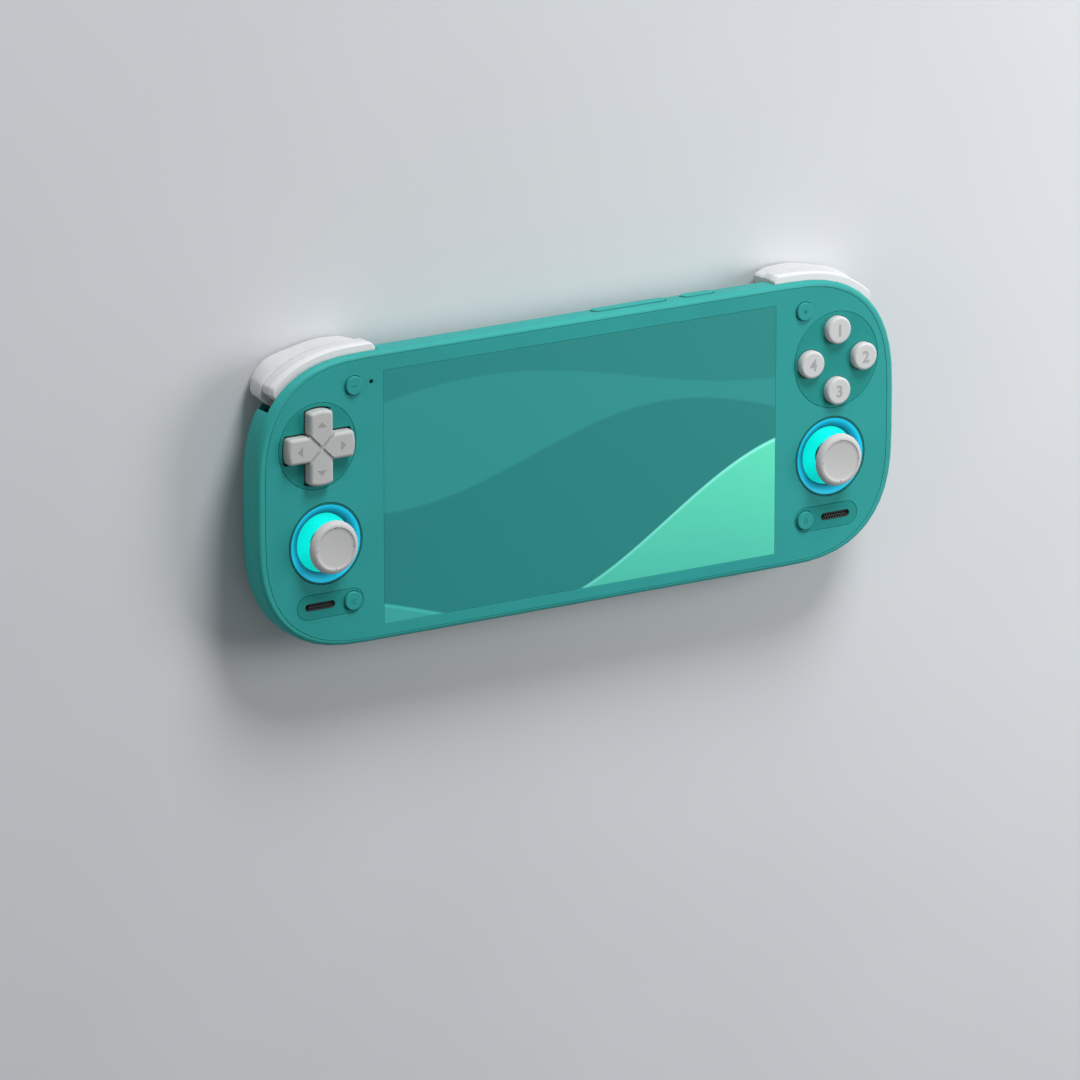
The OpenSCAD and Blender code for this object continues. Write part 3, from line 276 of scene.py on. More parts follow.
def metal(name, colour, roughness=0.32):
    """Bare metal with short brush marks."""
    material, tree, shader, spot = start(name, roughness)
    shader.inputs["Metallic"].default_value = 1.0
    squeeze = add(tree, "ShaderNodeMapping", {"Scale": (1, BRUSH_SLIM, BRUSH_SLIM)})
    tree.links.new(spot, squeeze.inputs["Vector"])
    lines = noise(tree, squeeze.outputs["Vector"], BRUSH, detail=4.0)
    tone = mix(tree, remap(tree, lines, 0, 1), linear(colour, BRUSH_DARK), linear(colour, BRUSH_LIGHT))
    sheen = remap(tree, lines, roughness - SHEEN_DOWN, roughness + SHEEN_UP)
    tree.links.new(tone, shader.inputs["Base Color"])
    tree.links.new(sheen, shader.inputs["Roughness"])
    return material


# Light guides: size and strength of their haze, and how soft the edge of the lip is
HAZE = 2.5
HAZE_SHARE = 0.06
LIP_SOFT = 0.04
GUIDE_ROUGH = 0.4
GUIDE_SPECULAR = 0.1


def stick_distance(tree, spot):
    """Distance from the middle of the nearer stick, in metres."""
    axes = along_axes(tree, spot)
    stick = place("right_stick_cap") * MM
    across = calc(tree, "SUBTRACT", calc(tree, "ABSOLUTE", axes["X"]), stick.x)
    along = calc(tree, "SUBTRACT", axes["Y"], stick.y)
    squares = [calc(tree, "POWER", offset, 2.0) for offset in (across, along)]
    return calc(tree, "SQRT", calc(tree, "ADD", *squares))


def glow(name, inner, outer, near, far, strength, lip=None):
    """Light guide round a stick that glows, from one colour to another further out, with a plain lip."""
    material, tree, shader, spot = start(name, GUIDE_ROUGH, GUIDE_SPECULAR)
    radius = stick_distance(tree, spot)
    share = remap(tree, radius, 0, 1, near * MM, far * MM)
    haze = remap(tree, noise(tree, spot, HAZE), -HAZE_SHARE, HAZE_SHARE)
    tone = mix(tree, calc(tree, "ADD", share, haze), linear(inner), linear(outer))
    light = tone
    if lip:
        past = remap(tree, radius, 0, 1, (lip - LIP_SOFT) * MM, (lip + LIP_SOFT) * MM)
        tone = mix(tree, past, tone, linear(RING_LIP))
        light = mix(tree, past, light, linear(BLACK))
    tree.links.new(tone, shader.inputs["Base Color"])
    tree.links.new(light, shader.inputs["Emission Color"])
    shader.inputs["Emission Strength"].default_value = strength
    return material


# Screen picture: lines across the screen as level, swing, waves and phase, in half sizes of the screen
HIGH_WAVE = (0.62, 0.20, 2.0, 2.6)
MID_WAVE = (0.12, 0.26, 2.3, 0.6)
CREST = (-0.72, 0.34, 2.5, -1.1)
CREST_SLOPE = 0.3
WAVE_BLUR = 0.012
HIGH_GAIN = 1.06
FADE_LEAN = 0.8
FADE_FROM = -0.5
FADE_TO = 0.95
LINE_CORE = 0.006
LINE_EDGE = 0.02
LINE_GAIN = 1.25
SCREEN_GLOW = 0.22
SCREEN_ROUGH = 0.4
SCREEN_SPECULAR = 0.15
SMUDGE = 40
SMUDGE_SHARE = 0.02


def screen_picture():
    """Lit screen behind glass: soft wave bands, and a mint wave at the lower right with a bright crest."""
    material, tree, shader, spot = start("screen_glass", SCREEN_ROUGH, SCREEN_SPECULAR)
    axes = along_axes(tree, spot)
    width, height = reach("screen_lens").xy
    across = calc(tree, "DIVIDE", axes["X"], width / 2 * MM)
    up = calc(tree, "DIVIDE", axes["Y"], height / 2 * MM)

    def wave(level, swing, waves, phase):
        """Height of a wavy line across the screen."""
        bend = calc(tree, "SINE", calc(tree, "ADD", calc(tree, "MULTIPLY", across, waves), phase))
        return calc(tree, "ADD", calc(tree, "MULTIPLY", bend, swing), level)

    def over(line):
        """1 above a line, 0 below it."""
        return remap(tree, calc(tree, "SUBTRACT", up, line), 0, 1, -WAVE_BLUR, WAVE_BLUR)

    crest = calc(tree, "ADD", wave(*CREST), calc(tree, "MULTIPLY", across, CREST_SLOPE))
    under_crest = calc(tree, "SUBTRACT", crest, up)
    mint = remap(tree, under_crest, 0, 1, -WAVE_BLUR, WAVE_BLUR)
    leaning = calc(tree, "SUBTRACT", across, calc(tree, "MULTIPLY", under_crest, FADE_LEAN))
    fade = remap(tree, leaning, 0, 1, FADE_FROM, FADE_TO)
    edge = remap(tree, calc(tree, "ABSOLUTE", under_crest), 1, 0, LINE_CORE, LINE_EDGE)
    base = mix(tree, over(wave(*MID_WAVE)), linear(SCREEN_DARK), linear(SCREEN_BASE))
    bands = mix(tree, over(wave(*HIGH_WAVE)), base, linear(SCREEN_DARK, HIGH_GAIN))
    bright = mix(tree, fade, linear(SCREEN_LIGHT), linear(SCREEN_MINT))
    field = mix(tree, mint, bands, bright)
    line = mix(tree, fade, linear(SCREEN_LIGHT, LINE_GAIN), linear(SCREEN_LINE))
    picture = mix(tree, edge, field, line)
    tree.links.new(picture, shader.inputs["Base Color"])
    tree.links.new(picture, shader.inputs["Emission Color"])
    shader.inputs["Emission Strength"].default_value = SCREEN_GLOW
    smudge = noise(tree, spot, SMUDGE, detail=1.0)
    gloss = remap(tree, smudge, SCREEN_ROUGH - SMUDGE_SHARE, SCREEN_ROUGH + SMUDGE_SHARE)
    tree.links.new(gloss, shader.inputs["Roughness"])
    return material


# Circuit boards: size of the fields between tracks, and the tracks' share and height
FIELD = 6
TRACK_SHARE = 0.03
TRACK_H = 0.02


def circuit(name):
    """Green solder mask with faint straight tracks."""
    material, tree, shader, spot = start(name, roughness=0.4)
    tracks = add(tree, "ShaderNodeTexBrick", {
        "Color1": linear(MASK_GREEN), "Color2": linear(MASK_LIGHT), "Mortar": linear(TRACK_GREEN),
        "Scale": 1 / (FIELD * MM), "Mortar Size": TRACK_SHARE})
    tree.links.new(spot, tracks.inputs["Vector"])
    tree.links.new(tracks.outputs["Color"], shader.inputs["Base Color"])
    roughen(tree, shader, tracks.outputs["Fac"], TRACK_H)
    return material


# One finish for each material slot of the record
FINISH = {
    "teal_plastic": moulded("teal_plastic", TEAL, roughness=0.6),
    "teal_inlay": moulded("teal_inlay", TEAL_INLAY, roughness=0.56),
    "white_plastic": moulded("white_plastic", GREY_WHITE, roughness=0.42, grain=0.3, vary=0.03, depth=0.006),
    "stick_rubber": moulded("stick_rubber", STICK_GREY, roughness=0.6, grain=0.25, vary=0.04, specular=0.25),
    "frame_alloy": metal("frame_alloy", ALLOY, roughness=0.45),
    "screen_glass": screen_picture(),
    "screen_panel": moulded("screen_panel", PANEL_BLACK, roughness=0.3),
    "black_plastic": moulded("black_plastic", BLACK, roughness=0.45),
    "mesh_steel": moulded("mesh_steel", MESH_GREY, roughness=0.55, grain=0.2),
    # The blue ring darkens towards its inner edge: painted shade on its hollow slope
    "light_blue": glow("light_blue", RING_SHADE_BLUE, RING_SKY, near=8.1, far=9.9, strength=0.3, lip=10.45),
    "light_cyan": glow("light_cyan", DISC_CYAN, DISC_RIM, near=4.5, far=7.9, strength=0.55),
    "circuit_board": circuit("circuit_board"),
    "steel": metal("steel", STEEL),
    "membrane_rubber": moulded("membrane_rubber", RUBBER_GREY, roughness=0.7, grain=0.6),
    "battery_wrap": moulded("battery_wrap", WRAP_GREY, roughness=0.35, grain=3.0),
    "cable_film": moulded("cable_film", FILM_AMBER, roughness=0.35, grain=1.5),
    "inner_plastic": moulded("inner_plastic", INNER_GREY),
}

# Finishes of single pieces, and the width of the plain band along a bumper's front edge
BUMPER_BAND = 2.2
TEAL_FRAME = moulded("teal_frame", TEAL_EDGE, roughness=0.52, specular=0.2)
TEAL_REAR = moulded("teal_rear", TEAL_BACK, roughness=0.58)
GRIP_WHITE = dotted("grip_white", WHITE, top("right_bumper") - BUMPER_BAND)
PAD_PLASTIC = moulded("pad_plastic", PAD_GREY, roughness=0.46, grain=0.3, vary=0.04, depth=0.008)
PAD_MARK_SHADE = moulded("pad_mark_shade", PAD_MARK_SHADE_GREY, grain=0.3)
PRINT_GREY = moulded("print_grey", PRINT, roughness=0.55, grain=0.2)
TICK_GREY = moulded("tick_grey", STICK_MARK_GREY, roughness=0.55, grain=0.2)

SLOTS = {name: node.material_slots[0].material.name for name, node in frame["nodes"].items()}
for name, node in frame["nodes"].items():
    node.material_slots[0].material = FINISH[SLOTS[name]]


# Mesh helpers
SQUARE = ((-1, -1), (1, -1), (1, 1), (-1, 1))
SMOOTH_ANGLE = 35
FLAT_ANGLE = 0.3
WELD = 0.0005


def piece(name, bm, material, body, nodes=(), smooth_angle=SMOOTH_ANGLE):
    """Object from a mesh in millimetres, smooth up to an angle, that rides on a body and replaces nodes."""
    bmesh.ops.recalc_face_normals(bm, faces=bm.faces)
    bmesh.ops.scale(bm, vec=(MM, MM, MM), verts=bm.verts)
    return settle(name, bm, material, body, nodes, smooth_angle)


def settle(name, bm, material, body, nodes=(), smooth_angle=SMOOTH_ANGLE):
    """Object from a mesh in metres, with its sharp edges marked."""
    for face in bm.faces:
        face.smooth = True
    for edge in bm.edges:
        edge.smooth = len(edge.link_faces) == 2 and edge.calc_face_angle(0) < math.radians(smooth_angle)
    mesh = bpy.data.meshes.new(name)
    bm.to_mesh(mesh)
    bm.free()
    mesh.materials.clear()
    mesh.materials.append(material)
    made = bpy.data.objects.new(name, mesh)
    bpy.context.scene.collection.objects.link(made)
    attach(made, body)
    if nodes:
        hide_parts(*nodes)
    return made


def body_of(node):
    """Name of the body that a node belongs to."""
    groups = frame["record"]["behaviour"]["bodies"]
    return next(body for body, members in groups.items() if node in members)


def soften(made, width, segments):
    """Small round on every sharp edge."""
    bevel = made.modifiers.new("round", "BEVEL")
    bevel.width = width * MM
    bevel.segments = segments
    bevel.limit_method = "ANGLE"
    bevel.angle_limit = math.radians(SMOOTH_ANGLE)
    bevel.harden_normals = True
    return made


def even_shading(made):
    """Normals that follow the large faces, so that flats stay flat beside rounds."""
    weighted = made.modifiers.new("shading", "WEIGHTED_NORMAL")
    weighted.keep_sharp = True
    return made


def refined(node, width, material=None, segments=2):
    """Copy of a node's solid with welded faces, smooth curves and rounded edges, in the node's place."""
    bm = bmesh.new()
    bm.from_mesh(frame["nodes"][node].data)
    bmesh.ops.remove_doubles(bm, verts=bm.verts, dist=WELD * MM)
    bmesh.ops.dissolve_limit(bm, angle_limit=math.radians(FLAT_ANGLE), verts=bm.verts, edges=bm.edges)
    finish = material or FINISH[SLOTS[node]]
    made = settle(node + "_skin", bm, finish, body_of(node), [node])
    if width:
        soften(made, width, segments)
    return even_shading(made)


def lathe(bm, profile, centre, steps=96):
    """Closed turned form about a vertical line, from (radius, height) points."""
    angles = [2 * math.pi * i / steps for i in range(steps)]
    rings = []
    for radius, height in profile:
        spots = [(radius * math.cos(a), radius * math.sin(a)) for a in angles] if radius else [(0, 0)]
        rings.append([bm.verts.new((centre[0] + x, centre[1] + y, height)) for x, y in spots])
    for first, second in zip(rings, rings[1:]):
        for i in range(steps):
            j = (i + 1) % steps
            corners = [
                first[i % len(first)], first[j % len(first)],
                second[j % len(second)], second[i % len(second)]]
            bm.faces.new(list(dict.fromkeys(corners)))


def prism(bm, outline, low, high):
    """Upright prism over a list of points."""
    skin(bm, [[bm.verts.new((x, y, z)) for x, y in outline] for z in (low, high)])


def skin(bm, rings):
    """Closed form through rings of as many points, with flat ends."""
    count = len(rings[0])
    for first, second in zip(rings, rings[1:]):
        for i in range(count):
            j = (i + 1) % count
            bm.faces.new([first[i], first[j], second[j], second[i]])
    bm.faces.new(rings[0][::-1])
    bm.faces.new(rings[-1])


def arc(centre, radius, first, last, steps):
    """Points on an arc, its angles in degrees."""
    angles = [math.radians(first + (last - first) * i / steps) for i in range(steps + 1)]
    return [(centre[0] + radius * math.cos(a), centre[1] + radius * math.sin(a)) for a in angles]


# Case, panel, inlays, screen and lights, with the small rounds along their seams
SEAM_ROUND = 0.12
PANEL_ROUND = 0.14
LENS_ROUND = 0.05
LIGHT_ROUND = 0.06
# The lens is drawn a little wider, because the real joint round it hardly shows
LENS_GROW = 1.0011
refined("front_frame", SEAM_ROUND, TEAL_FRAME)
refined("rear_shell", SEAM_ROUND, TEAL_REAR)
refined("front_panel", PANEL_ROUND)
for inlay in ("dpad_inlay", "face_inlay", "left_speaker_inlay", "right_speaker_inlay"):
    refined(inlay, SEAM_ROUND)
lens = refined("screen_lens", LENS_ROUND)
lens.data.transform(Matrix.Diagonal((LENS_GROW, LENS_GROW, 1, 1)))
refined("light_rings", LIGHT_ROUND)
refined("light_discs", LIGHT_ROUND)


# Shoulder keys: fine sections swept round the case's corner
TRIGGER_BODY_H = 4.3
# The keys' joint is drawn finer than it is, because the real one hardly shows
SPLIT_LINE = 0.08
SPLIT_FILLET = 0.12
BUMPER_BOX = [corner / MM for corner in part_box("right_bumper")]
TRIGGER_BOX = [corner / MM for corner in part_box("right_trigger")]
BUMPER = {
    "inner": BUMPER_BOX[0].x, "outer_y": 30.45, "low": BUMPER_BOX[0].z, "top": BUMPER_BOX[1].z,
    "deep": 2.8, "proud": 1.9}
TRIGGER = {
    "inner": TRIGGER_BOX[0].x, "outer_y": 29.35, "low": TRIGGER_BOX[1].z - TRIGGER_BODY_H,
    "top": BUMPER_BOX[0].z - SPLIT_LINE, "deep": 4.4, "proud": 0.5}
KEY_FILLET = 0.45
KEY_END_ROUND = 0.3
KEY_END_STEPS = 3

# Shares of a key's length: its straight stretch, the rounding of a bumper's ends and of a trigger's
FLAT_SHARE = 3 / 17
END_ROUND = 0.06
END_DOME = 0.06
# Least share of its height that a bumper has at its ends
END_SHARE = 0.35

# Trigger: skirt behind the case's edge, rounded tail, and two swells as height, middle and width
SKIRT_DEEP = 0.9
SKIRT_STEP = 0.3
TAIL_Z = 0.5
TAIL_RISE = 1.7
TAIL_ROUND_IN = 0.7
TAIL_ROUND_UP = 1.6
INNER_SWELL = (1.3, 0.27, 0.2)
OUTER_SWELL = (2.4, 0.74, 0.28)
OUTER_TAPER = 0.1
END_DOME_IN = 0.6

# Steps along the flat stretch and the turn, and round a section
FLAT_STEPS = 12
TURN_STEPS = 60
FILLET_STEPS = 6
DOME_STEPS = 8


def corner_direction(turn):
    """Point of the case's unit corner curve at an angle in degrees."""
    c, s = math.cos(math.radians(turn)), math.sin(math.radians(turn))
    return abs(c) ** (2 / CORNER_POWER), abs(s) ** (2 / CORNER_POWER)


def shoulder_path(key):
    """Stations from the inner end to the outer one: share of the length, corner's x and angle."""
    end_up = (key["outer_y"] - HALF_H + CORNER_R) / CORNER_R
    last = math.degrees(math.asin(end_up ** (CORNER_POWER / 2)))
    corner_x = HALF_W - CORNER_R
    flat = [i / FLAT_STEPS for i in range(FLAT_STEPS)]
    turn = [i / TURN_STEPS for i in range(TURN_STEPS + 1)]
    return (
        [(FLAT_SHARE * s, key["inner"] + (corner_x - key["inner"]) * s, 90) for s in flat]
        + [(FLAT_SHARE + (1 - FLAT_SHARE) * s, corner_x, 90 + (last - 90) * s) for s in turn])


def end_ramp(share):
    """Rise from 0 at either end of a key to 1 along its middle."""
    return math.sin(math.pi / 2 * min(1, min(share, 1 - share) / END_ROUND))


def rounds(out, middle, across, up, first, last):
    """Points of an elliptic round; middle is the height of its centre."""
    angles = [math.radians(first + (last - first) * i / FILLET_STEPS) for i in range(FILLET_STEPS + 1)]
    return [(out - across + across * math.cos(a), middle + up * math.sin(a)) for a in angles]


def dome(out, crown_out, low, crown):
    """Points of a bulge that leans in towards its top."""
    shares = [i / DOME_STEPS for i in range(1, DOME_STEPS + 1)]
    lean = out - crown_out
    return [(crown_out + lean * math.sqrt(1 - s * s), low + (crown - low) * s) for s in shares]


def bumper_out(share):
    """How far the bumper stands out along its length."""
    return BUMPER["proud"] * (END_SHARE + (1 - END_SHARE) * end_ramp(share))


def bumper_section(share):
    """Outline of the bumper across its length: offset from the case's edge and height."""
    out = bumper_out(share)
    return (
        [(-BUMPER["deep"], BUMPER["low"])]
        + rounds(out, BUMPER["low"] + SPLIT_FILLET, SPLIT_FILLET, SPLIT_FILLET, -90, 0)
        + rounds(out, BUMPER["top"] - KEY_FILLET, KEY_FILLET, KEY_FILLET, 0, 90)
        + [(-BUMPER["deep"], BUMPER["top"])])


def swell(share, height, middle, width):
    """Height of a bell-shaped bulge at a share of the length."""
    return height * math.exp(-((share - middle) / width) ** 2)


def trigger_section(share):
    """Outline of the trigger, whose dome swells twice along its length."""
    taper = math.sqrt(min(1, (1 - share) / OUTER_TAPER))
    full = TRIGGER["proud"] + swell(share, *INNER_SWELL) + swell(share, *OUTER_SWELL) * taper
    near_end = max(0, 1 - min(share, 1 - share) / END_DOME)
    out = full - END_DOME_IN * (1 - math.sqrt(1 - near_end ** 2))
    low = TAIL_Z + TAIL_RISE * (1 - math.sin(math.pi * share)) ** 2
    skirt = [(-SKIRT_DEEP, TRIGGER["low"] - SKIRT_STEP), (-SKIRT_DEEP, low)]
    return (
        [(-TRIGGER["deep"], TRIGGER["low"])] + skirt
        + rounds(out, low + TAIL_ROUND_UP, TAIL_ROUND_IN, TAIL_ROUND_UP, -90, 0)
        + dome(out, min(out, bumper_out(share)), low + TAIL_ROUND_UP, TRIGGER["top"])
        + [(-TRIGGER["deep"], TRIGGER["top"])])


def shoulder_key(name, side, key, section, end_round):
    """Key swept along the corner, with closed ends and rounded edges."""
    bm = bmesh.new()
    rings = []
    for share, corner_x, turn in shoulder_path(key):
        across, up = corner_direction(turn) if turn < 90 else (0.0, 1.0)
        rings.append([
            bm.verts.new((
                side * (corner_x + (CORNER_R + out) * across),
                HALF_H - CORNER_R + (CORNER_R + out) * up, z))
            for out, z in section(share)])
    skin(bm, rings)
    made = piece(name + "_skin", bm, GRIP_WHITE, name, [name])
    soften(made, end_round, KEY_END_STEPS)


for side_name, side in SIDES.items():
    shoulder_key(side_name + "_bumper", side, BUMPER, bumper_section, KEY_END_ROUND)
    shoulder_key(side_name + "_trigger", side, TRIGGER, trigger_section, SPLIT_FILLET)


# Keys of the top edge, drawn nearly flush with it, as they show
EDGE_KEY_SINK = 0.45
EDGE_KEY_ROUND = 0.3
EDGE_KEY_STEPS = 3
for key_name in ("volume_rocker", "power_button"):
    edge_key = refined(key_name, EDGE_KEY_ROUND, TEAL_FRAME, EDGE_KEY_STEPS)
    for vertex in edge_key.data.vertices:
        if vertex.co.y > HALF_H * MM:
            vertex.co.y -= EDGE_KEY_SINK * MM


# Small round buttons, with raised bars as x, y, width and height from the button's middle
MARK_BAR = 1.5
MARK_T = 0.3
MARK_APART = 0.4
MARK_RISE = 0.06
SMALL_MARKS = {
    "left_top_button": [(0, 0, MARK_BAR, MARK_T)],
    "right_top_button": [(0, 0, MARK_BAR, MARK_T), (0, 0, MARK_T, MARK_BAR)],
    "left_low_button": [(0, y, MARK_BAR, MARK_T) for y in (MARK_APART, -MARK_APART)],
    "right_low_button": [(x, 0, MARK_T, MARK_BAR) for x in (-MARK_APART, MARK_APART)],
}
for button in SMALL_MARKS:
    refined(button, 0)


def bar(bm, x, y, width, height, low, high):
    """Flat bar about a point."""
    outline = [(x + sx * width / 2, y + sy * height / 2) for sx, sy in SQUARE]
    prism(bm, outline, low, high)


for button, bars in SMALL_MARKS.items():
    middle = place(button)
    bm = bmesh.new()
    for x, y, width, height in bars:
        bar(bm, middle.x + x, middle.y + y, width, height, top(button) - MARK_RISE, top(button) + MARK_RISE)
    piece(button + "_mark", bm, FINISH["teal_inlay"], body_of(button))


# Rocking pad: four arms with rounded edges, parted by crossed grooves, and four raised triangles, darker
# than the pad as painted shade
PAD_R = 10.2
PAD_ARM = 7.1
PAD_CORNER = 1.0
PAD_CORNER_LEAST = 0.05
PAD_FILLET = 1.0
PAD_LOW = 13.6
PAD_STEPS = 6
GROOVE_HALF = 0.38
GROOVE_DEEP = 0.42
GROOVE_FILLET = 0.1
ARROW_REACH = 6.5
ARROW_HALF_L = 0.68
ARROW_HALF_W = 1.25
ARROW_SINK = 0.09
ARROW_RISE = 0.06
FLANGE_R = 10.4
FLANGE_LOW = 12.2
FLANGE_SIDE = 12.6
FLANGE_TOP = 12.8
FLANGE_BEVEL = 0.3


def pad_arm(inset):
    """Outline of the arm that points along x, drawn in from its sides and its curved end."""
    half = PAD_ARM / 2 - inset
    end_r = PAD_R - inset
    corner = max(PAD_CORNER - inset, PAD_CORNER_LEAST)
    back = math.sqrt(2) * (GROOVE_HALF + min(inset, GROOVE_FILLET))
    corner_x = math.sqrt((end_r - corner) ** 2 - (half - corner) ** 2)
    tilt = math.degrees(math.atan2(half - corner, corner_x))
    upper = arc((corner_x, half - corner), corner, tilt, 90, PAD_STEPS)
    lower = [(x, -y) for x, y in reversed(upper)]
    end = arc((0, 0), end_r, -tilt, tilt, 2 * PAD_STEPS)[1:-1]
    return [(back, 0), (back + half, -half)] + lower + end + upper + [(back + half, half)]


def turned(points, centre, turn):
    """Points turned by an angle in degrees and moved to a centre."""
    c, s = math.cos(math.radians(turn)), math.sin(math.radians(turn))
    return [(centre.x + c * x - s * y, centre.y + s * x + c * y) for x, y in points]


def rocking_pad():
    """The cross, its flange below it, black as painted shade in the gap round the pad, and its four
    triangles.
    """
    centre = place("dpad")
    crown = top("dpad") - ARROW_SINK - ARROW_RISE
    rounds_up = [math.pi / 2 * i / PAD_STEPS for i in range(PAD_STEPS + 1)]
    levels = [(0, PAD_LOW)] + [
        (PAD_FILLET * (1 - math.cos(a)), crown - PAD_FILLET * (1 - math.sin(a))) for a in rounds_up]
    cross = bmesh.new()
    marks = bmesh.new()
    arrow = [(ARROW_HALF_L, 0), (-ARROW_HALF_L, ARROW_HALF_W), (-ARROW_HALF_L, -ARROW_HALF_W)]
    for turn in range(0, 360, 90):
        skin(cross, [
            [cross.verts.new((x, y, z)) for x, y in turned(pad_arm(inset), centre, turn)]
            for inset, z in levels])
        outline = turned([(ARROW_REACH + x, y) for x, y in arrow], centre, turn)
        prism(marks, outline, crown - ARROW_SINK, crown + ARROW_RISE)
    core = [(centre.x + x * PAD_ARM / 2, centre.y + y * PAD_ARM / 2) for x, y in SQUARE]
    prism(cross, core, PAD_LOW + GROOVE_DEEP, crown - GROOVE_DEEP)
    even_shading(piece("dpad_skin", cross, PAD_PLASTIC, "pad", ["dpad"]))
    piece("dpad_triangles", marks, PAD_MARK_SHADE, "pad")
    # The flange is black as painted shade in the gap round the pad
    flange = bmesh.new()
    lathe(flange, [
        (0, FLANGE_LOW), (FLANGE_R, FLANGE_LOW), (FLANGE_R, FLANGE_SIDE),
        (FLANGE_R - FLANGE_BEVEL, FLANGE_TOP), (0, FLANGE_TOP)], centre)
    piece("dpad_shade_flange", flange, FINISH["black_plastic"], "pad")


rocking_pad()


# Face buttons with plain numbers
NUMBER_H = 3.1
NUMBER_RISE = 0.03
NUMBER_BOLD = 0.12
NUMBER_WELD = 0.001
# Share of the font's size that a digit is high
DIGIT_SHARE = 0.7


def number(text, node):
    """Printed number on top of a button, as a thin mesh."""
    curve = bpy.data.curves.new(node + "_number", "FONT")
    curve.body = text
    curve.align_x = "CENTER"
    curve.align_y = "CENTER"
    curve.size = NUMBER_H * MM / DIGIT_SHARE
    curve.extrude = NUMBER_RISE * MM
    curve.offset = NUMBER_BOLD * MM
    letters = bpy.data.objects.new(node + "_letters", curve)
    bpy.context.scene.collection.objects.link(letters)
    graph = bpy.context.evaluated_depsgraph_get()
    mesh = bpy.data.meshes.new_from_object(letters.evaluated_get(graph))
    bpy.data.objects.remove(letters)
    bm = bmesh.new()
    bm.from_mesh(mesh)
    low = Vector([min(v.co[i] for v in bm.verts) for i in range(3)])
    high = Vector([max(v.co[i] for v in bm.verts) for i in range(3)])
    middle = place(node) * MM
    middle.z = top(node) * MM
    bmesh.ops.translate(bm, vec=middle - (low + high) / 2, verts=bm.verts)
    bmesh.ops.remove_doubles(bm, verts=bm.verts, dist=NUMBER_WELD * MM)
    settle(node + "_number", bm, PRINT_GREY, node)


for index in range(1, 5):
    refined(f"button_{index}", 0)
    number(str(index), f"button_{index}")


# Stick caps: bored neck, round rim, shallow dish and four ticks
CAP_T = 2.3
CAP_UNDER = 1.4
CAP_WALL_LOW = 0.75
CAP_FILLET = 1.5
CAP_STEPS = 10
CAP_SMOOTH_ANGLE = 28
LIP_W = 0.12
LIP_DROP = 0.03
LIP_DEPTH = 0.12
DISH_R = 5.6
DISH_DEPTH = 0.5
# Share of the dish's depth that its edge drops at once
DISH_STEP = 0.4
NECK_R = 2.8
BORE_R = 1.52
BORE_DEEP = 1.0
TICK_L = 0.5
TICK_W = 0.22
TICK_OUT = 0.1
TICK_SINK = 0.25
TICK_RISE = 0.02


def cap_profile(low, crown, cap_r):
    """Half section of a cap: bore, neck, underside, rounded rim and hollow dish."""
    under = crown - CAP_T
    shares = [i / CAP_STEPS for i in range(CAP_STEPS + 1)]
    sines = [math.sin(math.pi / 2 * s) for s in shares]
    neck = [(BORE_R, low), (NECK_R, low), (NECK_R, under)]
    side = [
        (cap_r - CAP_UNDER, under), (cap_r - CAP_FILLET / 3, under + CAP_FILLET / 3),
        (cap_r, under + CAP_WALL_LOW)]
    fillet = [
        (cap_r - CAP_FILLET * (1 - math.cos(math.pi / 2 * s)), crown - CAP_FILLET * (1 - sine))
        for s, sine in zip(shares, sines)]
    lip = [(DISH_R + LIP_W, crown - LIP_DROP), (DISH_R, crown - LIP_DEPTH)]
    dish = [
        (DISH_R * (1 - s), crown - DISH_DEPTH * (DISH_STEP + (1 - DISH_STEP) * sine))
        for s, sine in zip(shares[1:], sines[1:])]
    return [(0, under + BORE_DEEP), (BORE_R, under + BORE_DEEP)] + neck + side + fillet + lip + dish


def stick_cap(side_name):
    """Cap of a stick and the ticks round its dish."""
    node = side_name + "_stick_cap"
    centre = place(node)
    low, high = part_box(node)
    crown = high.z / MM
    bm = bmesh.new()
    lathe(bm, cap_profile(low.z / MM, crown, reach(node).x / 2), centre)
    piece(
        node + "_skin", bm, FINISH["stick_rubber"], side_name + "_stick", [node],
        CAP_SMOOTH_ANGLE)
    ticks = bmesh.new()
    for turn in range(4):
        aim = math.radians(90 * turn)
        x = centre.x + (DISH_R + TICK_OUT) * math.cos(aim)
        y = centre.y + (DISH_R + TICK_OUT) * math.sin(aim)
        size = (TICK_L, TICK_W) if turn % 2 == 0 else (TICK_W, TICK_L)
        bar(ticks, x, y, *size, crown - TICK_SINK, crown + TICK_RISE)
    piece(side_name + "_stick_ticks", ticks, TICK_GREY, side_name + "_stick")


for side_name in SIDES:
    stick_cap(side_name)


# Speaker mesh: rows of six-sided holes in a dark plate with a thin border
SLOT_W = 8.9
CELL = 0.84
CELL_WEB = 0.2
MESH_T = 0.12
MESH_RECESS = 0.3
MESH_ROWS = 2
MESH_BORDER = 0.12


def hexagon(x, y, radius):
    """Corners of a hexagon with two upright sides."""
    angles = [math.radians(60 * i + 30) for i in range(6)]
    return [(x + radius * math.cos(a), y + radius * math.sin(a)) for a in angles]


def ring_wall(bm, outer, inner, low, high):
    """Closed ring between two outlines with as many points."""
    loops = [
        [bm.verts.new((x, y, z)) for x, y in line]
        for line, z in ((outer, high), (inner, high), (inner, low), (outer, low))]
    count = len(outer)
    for k in range(4):
        first, second = loops[k], loops[(k + 1) % 4]
        for i in range(count):
            j = (i + 1) % count
            bm.faces.new([first[i], first[j], second[j], second[i]])


def pill(x, y, width, height, steps=10):
    """Outline with half-round ends."""
    r = height / 2
    flat = width / 2 - r
    return arc((x + flat, y), r, -90, 90, steps) + arc((x - flat, y), r, 90, 270, steps)


